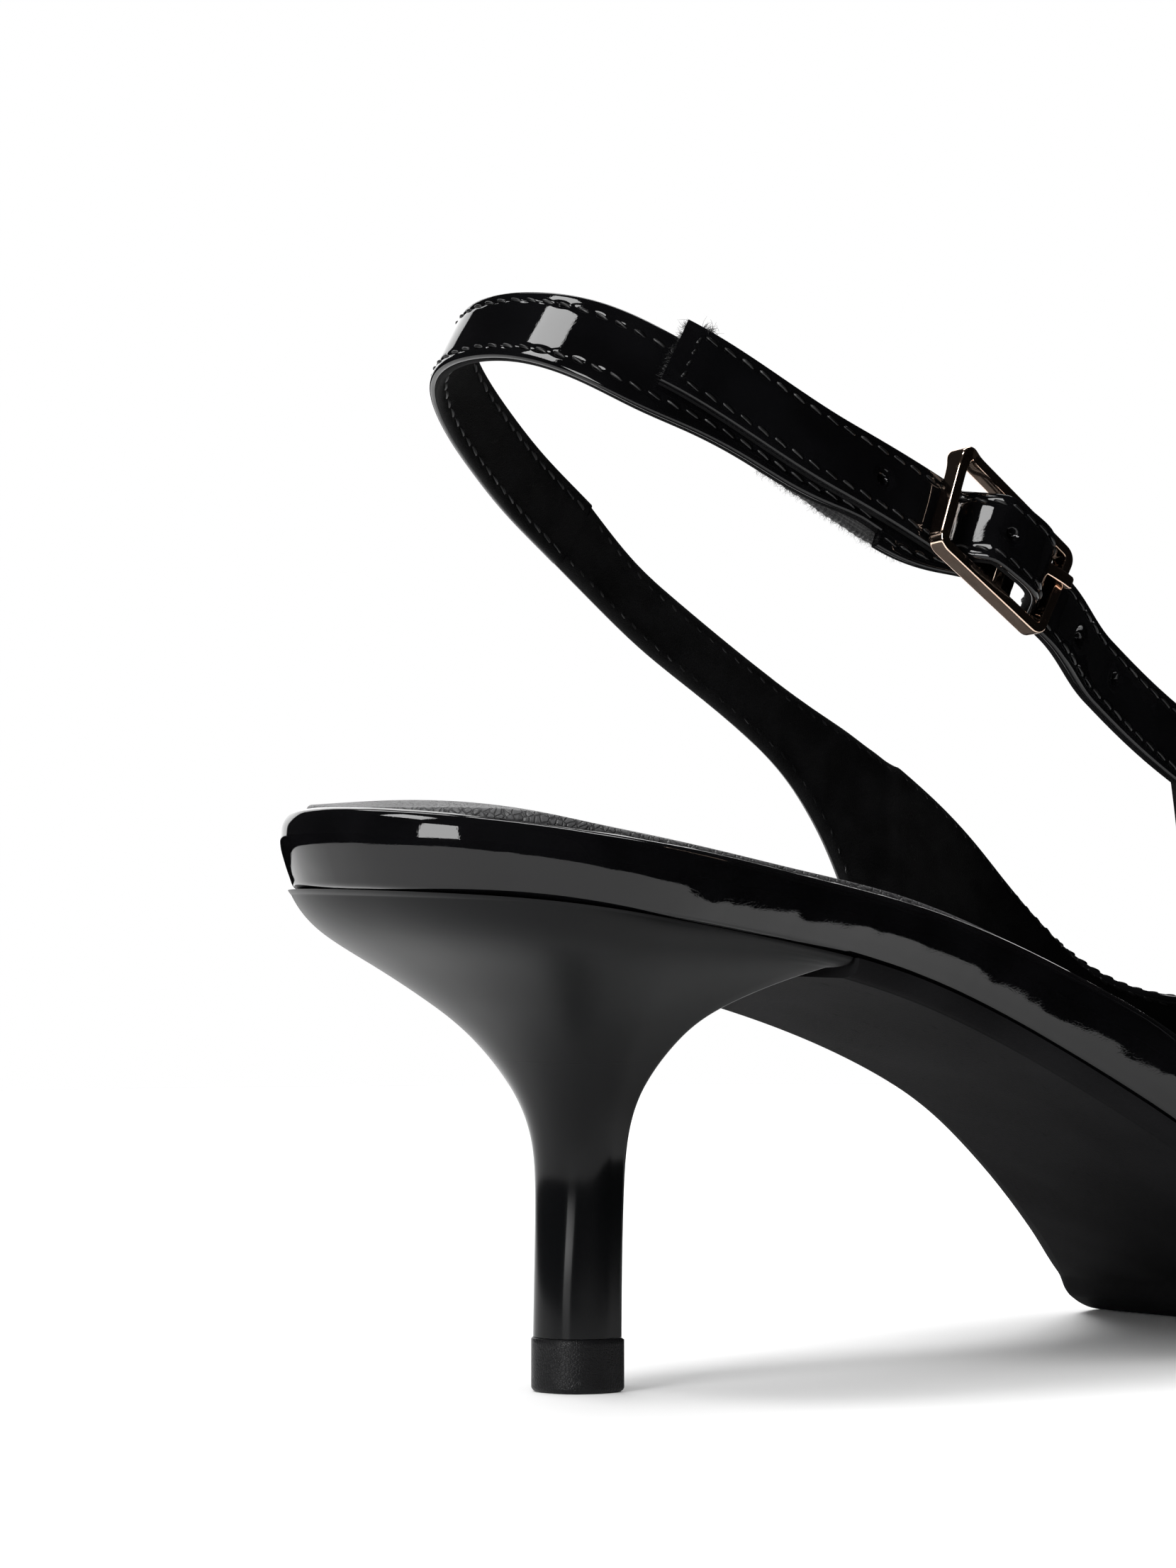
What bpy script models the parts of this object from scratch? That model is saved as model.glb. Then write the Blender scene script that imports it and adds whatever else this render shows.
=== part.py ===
"""Slingback pump for the right foot, as the pieces that a maker would put together.

Metres, +Z up. X runs from the heel to the toe and +Y to the inner, big-toe side. Stations
are measured from the rearmost point of the seat. An empty then moves the whole shoe, so
that the origin is the middle of the heel tip's face on the floor.
"""
import bmesh
import bpy
import numpy as np

# Driving sizes of the last and the heel
LENGTH = 0.250          # seat back to toe tip, seen from above
BALL_WIDTH = 0.0756     # across the insole's edge at the ball
SEAT_WIDTH = 0.052      # across the insole's edge at the seat
SEAT_HEIGHT = 0.0568    # floor to the underside of the insole at the very back
TOE_SPRING = 0.0070     # rise of the sole at the toe tip
TOE_SWING = 0.0080      # how far the toe tip lies to the inner side
BALL_SKEW = 0.16        # how much further forward the sole treads on the inner side
ARCH_LIFT = 0.0030      # extra rise of the inner side of the waist
BREAST_AT = 0.0553      # station of the heel's front corners, where the outsole starts
HEEL_AT = 0.0346        # station of the middle of the heel tip

# Thicknesses and other sizes that stand alone
EDGE_HEIGHT = 0.0081    # patent-covered edge of the insole at the seat
FOREPART_BOARD = 0.0028  # insole thickness under the toes
TREAD = 0.0036          # outsole thickness where it treads
WAIST_SOLE = 0.0023     # outsole thickness in the waist
WALL = 0.0015           # upper with its lining
BOARD_ROOM = 0.0013     # gap between the insole and the wall of the upper round it
PROUD = 0.0004          # how far the upper stands out from the insole's edge
SOCK_THICK = 0.0007
SOCK_DOME = 0.0015      # crown of the heel cushion
DISH = 0.0008           # how far the insole's top lies below its rim
SOCK_INSET = 0.0028
HEEL_INSET = 0.0022     # how far the insole's edge overhangs the heel
TIP_WIDTH = 0.0096
TIP_DEPTH = 0.0073
TOP_PIECE = 0.0060      # height of the heel tip
TIP_PROUD = 0.0002
TIP_ROUND = 0.0006      # rounding of the tip's lower rim
BREAST_HOLLOW = 0.0060
STRAP_WIDTH = 0.0083
STRAP_THICK = 0.0016
SLING_HEIGHT = 0.1168   # floor to the middle of the strap behind the heel
SLING_HALF = 0.0302     # half the greatest width between the straps
STRAP_TILT = 32.0       # degrees that the straps slope down towards the toe
THROAT_AT = 0.1785      # station of the vamp's throat
THROAT_HEIGHT = 0.0408
CLEAR = 0.0003          # gap between pieces that meet
SEAM_GAP = 0.0007       # gap where the buckle strap meets the outer quarter
FOOT_GAP = 0.0005       # gap between the upper and what it stands on
LAP = 0.0004            # gap between straps that lie on each other

# Buckle, in the plane of its strap
FRAME_LENGTH = 0.0195
FRAME_WIDTH = 0.0128
FRAME_BAR = 0.0015
FRAME_DEPTH = 0.0016
BUCKLE_AT = 0.0682      # station of the buckle's middle
PRONG_WIDTH = 0.0018
PRONG_THICK = 0.0011
PRONG_REACH = 0.0108
ELASTIC_WIDTH = 0.0080
ELASTIC_THICK = 0.0012
ELASTIC_DROP = 0.0005   # how far the elastic shows below its strap
ELASTIC_FROM = 0.0290   # elastic's ends, behind the buckle's middle
ELASTIC_TO = 0.0115
PRONG_DIP = 0.0014      # how much lower the prong starts than it lies on the front bar
SOFT_EDGE = 0.0002      # bevel of the frame's edges

# Where the straps leave their common line
SLING_DROP = 0.0025     # how far the sling hangs below the buckle strap that covers it
DROP_FROM = 0.0060      # start of that drop, in front of the back of the loop
DROP_RUN = 0.0260
TAIL_LIFT = 0.0012      # how far the buckle strap's free end stands above the line
TAIL_LIFT_RUN = 0.0220
DESCENT_FROM = 0.0110   # in front of the buckle the strap comes down to the quarter's line
DESCENT_RUN = 0.0130
TAIL_END = 0.0325       # station of the buckle strap's free end

STATIONS = 42           # cross-sections along the sole
ACROSS = 6              # strips across the sole
SEAT_ROUND = 0.128      # share of the length over which the seat rounds off
SEAT_POWER = 2.3
TOE_POWER = 0.9
OUTER_BALL = 0.624      # stations of the widest points, as shares of the length
INNER_BALL = 0.672

# Half widths: share of the length, then shares of half the ball width
WAIST_WIDTHS = (
    # station, outer side, inner side
    (0.128, 0.688, 0.688),
    (0.216, 0.661, 0.622),
    (0.320, 0.627, 0.522),
    (0.400, 0.669, 0.488),
    (0.480, 0.800, 0.552),
    (0.560, 0.957, 0.725),
)
OUTER_SHARE = 1.030     # the outer half at the ball, as a share of half the ball width
INNER_SHARE = 0.970

# Rise of the sole: share of the length, share of the seat's height above the tread
RISE = (
    (0.000, 1.0000), (0.090, 0.9345), (0.182, 0.8650), (0.264, 0.7825), (0.340, 0.6600),
    (0.392, 0.5520), (0.438, 0.4420), (0.480, 0.3250), (0.520, 0.2140), (0.560, 0.1110),
    (0.600, 0.0350), (0.632, 0.0000),
)
FLAT_FROM, FLAT_TO = 0.632, 0.740

# Insole's edge: share of the length, share of the edge height
EDGE = (
    (0.00, 1.00), (0.13, 0.97), (0.20, 0.94), (0.26, 1.00), (0.34, 1.15), (0.39, 1.25),
    (0.43, 1.29), (0.48, 1.10), (0.56, 0.55),
)

# Rounding of the insole's edge, from the bottom up, as shares of the edge height
EDGE_PROFILE = (
    # height, inset
    (0.00, 0.160), (0.07, 0.043), (0.30, 0.0), (0.70, 0.0), (0.92, 0.050), (1.00, 0.148),
)

# Side of the outsole, from the bottom up: share of the thickness, insets as shares of the ball width
SOLE_PROFILE = (
    # depth, inset in the waist, inset in the tread
    (1.00, 0.038, 0.0066), (0.78, 0.020, 0.0), (0.40, 0.0106, -0.0033), (0.00, 0.0093, -0.0033),
)
STEP_AT = 0.584         # where the outsole thickens to the tread
STEP_RUN = 0.010

# Heel: shares of the way from the tip's section to the seat's, from the bottom up
HEEL = (
    # height at back, height at front, back, widest, front, width
    (0.000, 0.000, 0.000, 0.000, 0.000, 0.000),
    (0.140, 0.140, -0.008, 0.000, 0.004, 0.000),
    (0.300, 0.300, -0.020, 0.000, 0.010, 0.008),
    (0.430, 0.430, -0.005, 0.005, 0.020, 0.035),
    (0.545, 0.540, 0.080, 0.035, 0.045, 0.140),
    (0.655, 0.640, 0.235, 0.150, 0.135, 0.325),
    (0.735, 0.712, 0.415, 0.300, 0.300, 0.520),
    (0.810, 0.772, 0.615, 0.530, 0.640, 0.740),
    (0.890, 0.806, 0.845, 0.790, 0.900, 0.915),
    (0.960, 0.822, 0.965, 0.940, 0.985, 0.985),
    (1.000, 0.830, 1.000, 1.000, 1.000, 1.000),
)
HEEL_POWER = 2.25
TIP_WIDEST = 0.72       # widest place of the tip, as a share of its depth
CUP_WIDEST = 0.82       # widest place of the cup, as a share of the seat's rounding
TOP_GAP = 0.0004        # least height between the heel's sections under the seat

# Line of the straps behind the buckle and the inner quarter, alike on both sides
LOOP = (
    # station share of the length, share of the half width, share of the height
    (0.1000, 0.000, 1.0000), (0.1104, 0.358, 0.9870), (0.1390, 0.603, 0.9530),
    (0.1840, 0.795, 0.8990), (0.2208, 0.907, 0.8562), (0.2560, 0.967, 0.8134),
    (0.2868, 0.993, 0.7705), (0.3180, 1.000, 0.7277), (0.3488, 0.987, 0.6849),
    (0.3796, 0.967, 0.6439), (0.4060, 0.957, 0.6121),
    (0.4280, 0.960, 0.5870),
)
OUTER_SAG = 0.0011      # how much lower the straps run on the outer side
INNER_WING_END = 0.256  # where the sling strap meets the inner quarter
OUTER_WING_END = 0.416  # where the buckle strap meets the outer quarter

# Quarters: rear edge and top edge, station shares of the length, shares of the height
WING = (
    # rear station, rear height, top station, top height, lean of the rear edge
    (0.286, 0.7350, 0.300, 0.7900, 1.13),
    (0.316, 0.6945, 0.332, 0.7460, 1.12),
    (0.346, 0.6550, 0.364, 0.7035, 1.09),
    (0.374, 0.6140, 0.396, 0.6630, 1.05),
    (0.397, 0.5715, 0.422, 0.6350, 1.00),
    (0.4125, 0.5240, 0.440, 0.6170, 0.89),
    (0.4210, 0.4765, 0.4530, 0.6030, 0.74),
    (0.4255, 0.4100, 0.4620, 0.5935, 0.50),
    (0.4290, 0.3260, 0.4690, 0.5860, 0.24),
)
QUARTER_AT = 0.433      # where the quarter's rear edge reaches the sole
TOPLINE = (
    # station share, share of the straps' half width, share of the height
    (0.476, 1.008, 0.5780), (0.500, 1.028, 0.5500), (0.540, 1.058, 0.4960),
    (0.582, 1.068, 0.4280), (0.612, 1.058, 0.3850), (0.640, 1.020, 0.3540),
    (0.666, 0.942, 0.3385), (0.690, 0.775, 0.3350), (0.708, 0.470, 0.3400),
)

# Buckle strap over the centre bar: distance towards the toe, rise, in thicknesses of the frame
BUMP = (
    (-6.3, 0.0), (-5.1, 0.0), (-4.1, 0.45), (-2.3, 1.78), (0.0, 2.66), (1.9, 2.88),
    (3.1, 2.30), (4.1, 1.06), (5.1, 0.06), (6.3, 0.0),
)
# Tab round the centre bar, in the same way
TAB = ((-8.6, 0.0), (-5.6, 0.0), (-3.2, 0.45), (-1.3, 1.22), (0.0, 1.36), (1.1, 1.30))
TAB_START = -8.6


def spline(x, xs, ys, first=None, last=None):
    """Cubic through the points with no jump in bend; the end slopes are free or given."""
    xs, ys = np.asarray(xs, float), np.asarray(ys, float)
    n, h = len(xs), np.diff(xs)
    rise = np.diff(ys) / h
    a, b = np.zeros((n, n)), np.zeros(n)
    for i in range(1, n - 1):
        a[i, i - 1 : i + 2] = h[i], 2 * (h[i - 1] + h[i]), h[i - 1]
        b[i] = 3 * (h[i] * rise[i - 1] + h[i - 1] * rise[i])
    a[0, :2], b[0] = ((1, 0), first) if first is not None else ((2, 1), 3 * rise[0])
    a[-1, -2:], b[-1] = ((0, 1), last) if last is not None else ((1, 2), 3 * rise[-1])
    m = np.linalg.solve(a, b)
    x = np.asarray(x, float)
    i = np.clip(np.searchsorted(xs, x) - 1, 0, n - 2)
    t = (x - xs[i]) / h[i]
    return (
        (1 + 2 * t) * (1 - t) ** 2 * ys[i]
        + t * (1 - t) ** 2 * h[i] * m[i]
        + t * t * (3 - 2 * t) * ys[i + 1]
        + t * t * (t - 1) * h[i] * m[i + 1]
    )


def curve(t, points):
    """Smooth space curve through the rows of points, t from 0 to 1 along its chords."""
    points = np.asarray(points, float)
    at = np.concatenate([[0], np.cumsum(np.linalg.norm(np.diff(points, axis=0), axis=1))])
    return np.stack([spline(np.asarray(t) * at[-1], at, c) for c in points.T], -1)


def ease(x):
    """0 below 0, 1 above 1, smooth between."""
    x = np.clip(x, 0, 1)
    return x * x * (3 - 2 * x)


def half_width(u, side):
    """Half width of the insole at a share u of the length; side -1 is outer, +1 inner."""
    half = BALL_WIDTH / 2
    outer = side < 0
    ball = np.where(outer, OUTER_BALL, INNER_BALL)
    widest = half * np.where(outer, OUTER_SHARE, INNER_SHARE)
    rows = np.array(WAIST_WIDTHS)
    waist = []
    for column, at, top in ((1, OUTER_BALL, OUTER_SHARE), (2, INNER_BALL, INNER_SHARE)):
        start = SEAT_WIDTH / 2 / half
        xs = np.append(rows[:, 0], at)
        ys = np.append(rows[:, column] * start / rows[0, column], top)
        waist.append(half * spline(np.clip(u, SEAT_ROUND, at), xs, ys, 0, 0))
    waist = np.where(outer, waist[0], waist[1])
    seat = SEAT_WIDTH / 2 * np.sqrt(1 - np.clip(1 - u / SEAT_ROUND, 0, 1) ** SEAT_POWER)
    toe = widest * (1 - np.clip((u - ball) / (1 - ball), 0, 1) ** 2) ** TOE_POWER
    return np.where(u < SEAT_ROUND, seat, np.where(u < ball, waist, toe))


def middle(u):
    """The toe's swing to the inner side."""
    return TOE_SWING * np.clip((u - OUTER_BALL) / (1 - OUTER_BALL), 0, 1) ** 2


def sole_top(x, y):
    """Height of the face that the insole and the upper stand on, and the heel and outsole carry."""
    u = x / LENGTH
    s = u - BALL_SKEW * y / LENGTH * ease((u - 0.25) / 0.35)
    rows = np.array(RISE)
    rise = (SEAT_HEIGHT - TREAD) * spline(np.clip(s, 0, FLAT_FROM), rows[:, 0], rows[:, 1], None, 0)
    inner = 0.5 + y / SEAT_WIDTH
    lift = ARCH_LIFT * inner * ease((u - 0.24) / 0.20) * (1 - ease((u - 0.44) / 0.19))
    toe = TOE_SPRING * (np.clip(s - FLAT_TO, 0, 1) / (1 - FLAT_TO)) ** 2
    return TREAD + np.where(s < FLAT_FROM, rise, 0) + lift + toe


def sole_thick(x, y):
    """The outsole steps from the thin waist to the thicker tread."""
    s = x / LENGTH - BALL_SKEW * y / LENGTH
    return WAIST_SOLE + (TREAD - WAIST_SOLE) * ease((s - STEP_AT) / STEP_RUN)


def edge_height(x):
    """Height of the insole's edge, thinning to the board inside the upper."""
    rows = np.array(EDGE)
    u = x / LENGTH
    edge = EDGE_HEIGHT * spline(np.clip(u, 0, 0.56), rows[:, 0], rows[:, 1])
    return edge + (FOREPART_BOARD - edge) * ease((u - 0.47) / 0.16)


def outline(u, grow=0.0):
    """Plan outline from the heel along the outer side, round the toe and back, moved out by grow."""
    u = np.concatenate([u, u[-2::-1]])
    side = np.where(np.arange(len(u)) < (len(u) + 1) // 2, -1, 1)
    grow = np.broadcast_to(grow, (len(u) + 1) // 2)
    grow = np.concatenate([grow, grow[-2::-1]])
    tip = 1.7 * grow[len(u) // 2] * np.clip((u - 0.75) / 0.25, 0, 1) ** 2
    p = np.stack([u * LENGTH + tip, middle(u) + side * half_width(u, side)], -1)
    closed = u[0] == 0
    loop = np.concatenate([p[-2:-1], p, p[1:2]]) if closed else p
    t = np.gradient(loop, axis=0)
    t = t[1:-1] if closed else t
    t /= np.linalg.norm(t, axis=1)[:, None]
    move = np.where(u < 0.95, grow, grow * (1 - u) / 0.05)
    return p + np.stack([t[:, 1], -t[:, 0]], -1) * move[:, None]


def stations(start):
    """Shares of the length from start to the toe, the same ones for all that lies on the sole."""
    u = (1 - np.cos(np.linspace(0, np.pi, STATIONS))) / 2
    step = (QUARTER_AT - 0.004, QUARTER_AT - 0.001)
    return np.unique(np.concatenate([[start], u[u > start + 0.004], step]))


def quads(rows, cols, base=0, flip=False):
    """Faces of a grid of rows times cols vertices."""
    i, j = np.meshgrid(np.arange(rows - 1), np.arange(cols - 1), indexing="ij")
    a = base + (i * cols + j).ravel()
    f = np.stack([a, a + 1, a + cols + 1, a + cols], -1)
    return (f[:, ::-1] if flip else f).tolist()


def finish(name, verts, faces, colour, rough, metal=0.0):
    """Make the closed object: weld, point the faces outwards, smooth and colour."""
    mesh = bpy.data.meshes.new(name)
    bm = bmesh.new()
    made = [bm.verts.new(v) for v in np.asarray(verts, float).tolist()]
    for f in faces:
        bm.faces.new([made[i] for i in dict.fromkeys(f)])
    bmesh.ops.remove_doubles(bm, verts=bm.verts, dist=2e-6)
    bmesh.ops.dissolve_degenerate(bm, edges=bm.edges, dist=1e-6)
    bmesh.ops.triangulate(bm, faces=bm.faces)
    bmesh.ops.recalc_face_normals(bm, faces=bm.faces)
    if bm.calc_volume(signed=True) < 0:
        bmesh.ops.reverse_faces(bm, faces=bm.faces)
    bm.to_mesh(mesh)
    bm.free()
    mesh.shade_smooth()
    mesh.set_sharp_from_angle(angle=np.radians(40))
    material = bpy.data.materials.new(name)
    material.use_nodes = True
    shader = material.node_tree.nodes["Principled BSDF"]
    shader.inputs["Base Color"].default_value = (*colour, 1)
    shader.inputs["Roughness"].default_value = rough
    shader.inputs["Metallic"].default_value = metal
    mesh.materials.append(material)
    piece = bpy.data.objects.new(name, mesh)
    bpy.context.collection.objects.link(piece)
    piece.parent = shoe
    return piece


def slab(name, rings, low, high, columns, colour, rough):
    """Solid between a bottom and a top face, inside rings of (plan outline, heights).

    Each face is ruled across the shoe in columns, so that it follows the last's rocker.
    """
    count = len(rings[0][0])
    half = count // 2
    verts = [np.column_stack([p, z]) for p, z in rings]
    faces = []
    for k in range(len(rings) - 1):
        for i in range(count - 1):
            a = k * count + i
            faces.append((a, a + 1, a + count + 1, a + count))
    across = np.linspace(0, 1, columns + 1)[None, :, None]
    back_rows = []
    for (plan, _), height, flip in ((rings[0], low, False), (rings[-1], high, True)):
        left, right = plan[:half, None], plan[:half:-1, None]
        xy = left + (right - left) * across
        rows = np.concatenate([xy.reshape(-1, 2), plan[half : half + 1]])
        base = sum(len(v) for v in verts)
        verts.append(np.column_stack([rows, height(rows[:, 0], rows[:, 1])]))
        faces += quads(half, columns + 1, base, flip)
        tip, last = base + half * (columns + 1), base + (half - 1) * (columns + 1)
        for j in range(columns):
            pair = (last + j, last + j + 1)
            faces.append((pair[0], pair[1], tip) if not flip else (pair[1], pair[0], tip))
        back_rows.append([base + j for j in range(columns + 1)])
    if np.linalg.norm(rings[0][0][0] - rings[0][0][-1]) > 1e-5:
        rise = [k * count for k in range(1, len(rings) - 1)]
        fall = [k * count + count - 1 for k in range(len(rings) - 2, 0, -1)]
        faces.append(back_rows[0][::-1] + rise + back_rows[1] + fall)
    return finish(name, np.concatenate(verts), faces, colour, rough)


def board_grow(u):
    """The insole steps in where the upper wraps round it."""
    step = (WALL + BOARD_ROOM - PROUD) * ease((u - (QUARTER_AT - 0.004)) / 0.003)
    return -step - WALL * ease((u - 0.8) / 0.2)


def board_low(x, y):
    return sole_top(x, y) + CLEAR


def board_high(x, y):
    return sole_top(x, y) + CLEAR + edge_height(x) - DISH


def footbed():
    """Insole board with its covered edge: full round the seat and waist, thin in the forepart."""
    u = stations(0)
    rings = []
    slim = np.minimum(edge_height(u * LENGTH), EDGE_HEIGHT)
    for share, inset in EDGE_PROFILE:
        plan = outline(u, board_grow(u) - inset * slim)
        x, y = plan.T
        rings.append((plan, board_low(x, y) + share * edge_height(x)))
    plan = outline(u, board_grow(u) - 0.85 * SOCK_INSET)
    rings.append((plan, board_high(*plan.T)))
    return slab("footbed", rings, board_low, board_high, ACROSS, (0.012, 0.012, 0.013), 0.12)


def sock_low(x, y):
    return board_high(x, y) + CLEAR


def sock_high(x, y):
    """Padded most in the middle of the seat, flat in the forepart."""
    across = np.clip(1 - (y / (0.5 * SEAT_WIDTH)) ** 2, 0, 1)
    along = ease(x / (0.06 * LENGTH)) * (1 - ease((x / LENGTH - 0.22) / 0.22))
    return sock_low(x, y) + SOCK_THICK + SOCK_DOME * across * along


def sock():
    """Leather sock with the heel cushion, on the insole."""
    u = stations(0)
    rings = []
    toe_room = SOCK_THICK * ease((u - 0.75) / 0.2)
    for share, inset in ((0.0, 0.0), (0.6, 0.0), (1.0, 0.85 * SOCK_THICK)):
        plan = outline(u, board_grow(u) - SOCK_INSET - inset - toe_room)
        x, y = plan.T
        rings.append((plan, sock_low(x, y) + share * (sock_high(x, y) - sock_low(x, y))))
    return slab("sock", rings, sock_low, sock_high, ACROSS, (0.02, 0.02, 0.021), 0.6)


def outsole_low(x, y):
    return sole_top(x, y) - sole_thick(x, y)


def outsole():
    """Thin in the waist with bevelled sides, thicker from the tread to the toe."""
    u = stations(BREAST_AT / LENGTH)
    tread = ease((u - 0.55) / 0.08)
    rings = []
    for share, waist, fore in SOLE_PROFILE:
        plan = outline(u, -BALL_WIDTH * (waist + (fore - waist) * tread))
        x, y = plan.T
        rings.append((plan, sole_top(x, y) - share * sole_thick(x, y)))
    return slab("outsole", rings, outsole_low, sole_top, ACROSS, (0.02, 0.02, 0.022), 0.35)


def heel_section(back, widest, front, width, hollow, points, across, power=HEEL_POWER):
    """Plan of one heel section: rounded back, straight sides, and a breast that curves in.

    Runs from the middle of the back along the outer side, over the breast, and back.
    """
    a = np.linspace(0, np.pi / 2, points)
    round_x = widest - (widest - back) * np.cos(a) ** (2 / power)
    round_y = -width * np.sin(a) ** (2 / power)
    side_x = np.append(round_x, np.linspace(widest, front, 4)[1:-1])
    side_y = np.append(round_y, [-width, -width])
    y = np.linspace(-width, width, across + 1)
    breast = np.stack([front - hollow * (1 - (y / width) ** 2), y], -1)
    side = np.stack([side_x, side_y], -1)
    return np.concatenate([side, breast, (side * (1, -1))[:0:-1]])


def heel():
    """Cup under the seat that sweeps into a thin column with a flat front."""
    points, across = 12, 6
    tip_back = HEEL_AT - TIP_DEPTH / 2
    tip_front = HEEL_AT + TIP_DEPTH / 2
    tip_widest = tip_back + TIP_WIDEST * TIP_DEPTH
    seat_half = SEAT_WIDTH / 2 - HEEL_INSET
    rows = np.array(HEEL)
    at = np.linspace(0, 1, len(rows))
    t = np.concatenate([np.linspace(0, 0.2, 3), np.linspace(0.2, 1, 15)[1:]])
    high_b, high_f, back, widest, front, width = (spline(t, at, c) for c in rows.T)
    low = TOP_PIECE + CLEAR
    span = SEAT_HEIGHT - low
    rings = []
    for k in range(len(t)):
        b = tip_back + (HEEL_INSET - tip_back) * back[k]
        f = tip_front + (BREAST_AT - 3 * CLEAR - tip_front) * front[k]
        c = tip_widest + (CUP_WIDEST * SEAT_ROUND * LENGTH - tip_widest) * widest[k]
        w = TIP_WIDTH / 2 + (seat_half - TIP_WIDTH / 2) * width[k]
        plan = heel_section(b, c, f, w, BREAST_HOLLOW * max(front[k], 0.02), points, across)
        x, y = plan.T
        z = low + span * (high_b[k] + (high_f[k] - high_b[k]) * (x - b) / (f - b))
        top = sole_top(x, y)
        z = top if k == len(t) - 1 else np.minimum(z, top - TOP_GAP * (len(t) - 1 - k))
        rings.append(np.column_stack([plan, z]))
    count = len(rings[0])
    faces = []
    for k in range(len(rings) - 1):
        for i in range(count):
            j = (i + 1) % count
            faces.append((k * count + i, k * count + j, (k + 1) * count + j, (k + 1) * count + i))
    side = points + 2
    verts = [np.concatenate(rings)]
    for ring, flip in ((rings[0], False), (rings[-1], True)):
        base = sum(len(v) for v in verts)
        left, right = ring[:side], np.concatenate([ring[:1], ring[: -side : -1]])
        share = np.linspace(0, 1, across + 1)[None, :, None]
        rows = left[:, None] + (right[:, None] - left[:, None]) * share
        rows = np.concatenate([rows, ring[side : side + across + 1][None]])
        flat = rows.reshape(-1, 3)
        if flip:
            flat[:, 2] = sole_top(flat[:, 0], flat[:, 1])
        verts.append(flat)
        faces += quads(side + 1, across + 1, base, flip)
    return finish("heel", np.concatenate(verts), faces, (0.016, 0.017, 0.018), 0.18)


def top_piece():
    """Rubber tip, a little wider than the column, with a rounded lower rim."""
    rings = []
    for z, grow in ((0, TIP_PROUD - TIP_ROUND), (TIP_ROUND, TIP_PROUD), (TOP_PIECE, TIP_PROUD)):
        back = HEEL_AT - TIP_DEPTH / 2 - grow
        front = HEEL_AT + TIP_DEPTH / 2 + grow
        widest = back + TIP_WIDEST * (front - back)
        plan = heel_section(back, widest, front, TIP_WIDTH / 2 + grow, 0.0001, 10, 2)
        rings.append(np.column_stack([plan, np.full(len(plan), z)]))
    count = len(rings[0])
    faces = [list(range(count))[::-1], [2 * count + i for i in range(count)]]
    for k in range(2):
        for i in range(count):
            j = (i + 1) % count
            faces.append((k * count + i, k * count + j, (k + 1) * count + j, (k + 1) * count + i))
    return finish("top_piece", np.concatenate(rings), faces, (0.014, 0.014, 0.015), 0.45)


def loop_points():
    """The straps' line, from the inner quarter round the back to the outer quarter."""
    rows = np.array(LOOP) * (LENGTH, SLING_HALF, SLING_HEIGHT)
    outer = rows[1:] * (1, -1, 1)
    at = outer[:, 0] / LENGTH
    outer[:, 2] -= OUTER_SAG * ease((at - 0.11) / 0.05) * (1 - ease((at - 0.23) / 0.07))
    return np.concatenate([rows[::-1], outer])


LINE = curve(np.linspace(0, 1, 801), loop_points())
RUN = np.concatenate([[0], np.cumsum(np.linalg.norm(np.diff(LINE, axis=0), axis=1))])


def run_at(station, side):
    """Distance along the straps' line at a station, on one side of the shoe."""
    half = len(LINE) // 2
    part = slice(0, half) if side > 0 else slice(half, None)
    x, run = LINE[part, 0], RUN[part]
    order = np.argsort(x)
    return float(np.interp(station, x[order], run[order]))


def frame_on(s):
    """Point, direction, width direction and outward normal on the straps' line."""
    p = np.stack([np.interp(s, RUN, c) for c in LINE.T], -1)
    step = 0.0008
    ahead = np.stack([np.interp(s + step, RUN, c) for c in LINE.T], -1)
    behind = np.stack([np.interp(s - step, RUN, c) for c in LINE.T], -1)
    t = ahead - behind
    t /= np.linalg.norm(t, axis=-1)[..., None]
    tilt = np.radians(STRAP_TILT)
    up = np.stack(np.broadcast_arrays(np.sin(tilt), -0.12 * p[..., 1] / SLING_HALF, np.cos(tilt)), -1)
    w = up - (up * t).sum(-1)[..., None] * t
    w /= np.linalg.norm(w, axis=-1)[..., None]
    return p, t, w, np.cross(t, w)


def strip(path, w, n, width, thick):
    """Vertices and faces of a flat strap along a path, with its ends closed."""
    half_w, half_t = np.asarray(width) / 2 * np.ones(len(path)), thick / 2
    soft = 0.3 * thick
    corners = (
        (-1, -1, 0, soft), (-1, 1, 0, soft), (-1, 1, soft, 0), (1, 1, soft, 0),
        (1, 1, 0, soft), (1, -1, 0, soft), (1, -1, soft, 0), (-1, -1, soft, 0),
    )
    rings = []
    for a, b, cut_w, cut_t in corners:
        rings.append(
            path
            + w * (a * (half_w - cut_w))[:, None]
            + n * (b * (half_t - cut_t))
        )
    verts = np.stack(rings, 1).reshape(-1, 3)
    c = len(corners)
    faces = [list(range(c))[::-1], [len(verts) - c + i for i in range(c)]]
    for k in range(len(path) - 1):
        for i in range(c):
            j = (i + 1) % c
            faces.append((k * c + i, k * c + j, (k + 1) * c + j, (k + 1) * c + i))
    return verts, faces


def buckle_run():
    return run_at(BUCKLE_AT, -1)


def sling_drop(s):
    """On the outer side the sling hangs a little below the buckle strap that covers it."""
    middle_run = run_at(LOOP[0][0] * LENGTH, -1)
    return SLING_DROP * ease((s - middle_run - DROP_FROM) / DROP_RUN)


def rise_on(s, table):
    """Rise over the frame's bars, from a table in thicknesses of the frame."""
    rows = np.array(table) * FRAME_DEPTH
    toward_toe = s - buckle_run()
    inside = spline(np.clip(toward_toe, rows[0, 0], rows[-1, 0]), rows[:, 0], rows[:, 1], 0, 0)
    return inside


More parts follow.
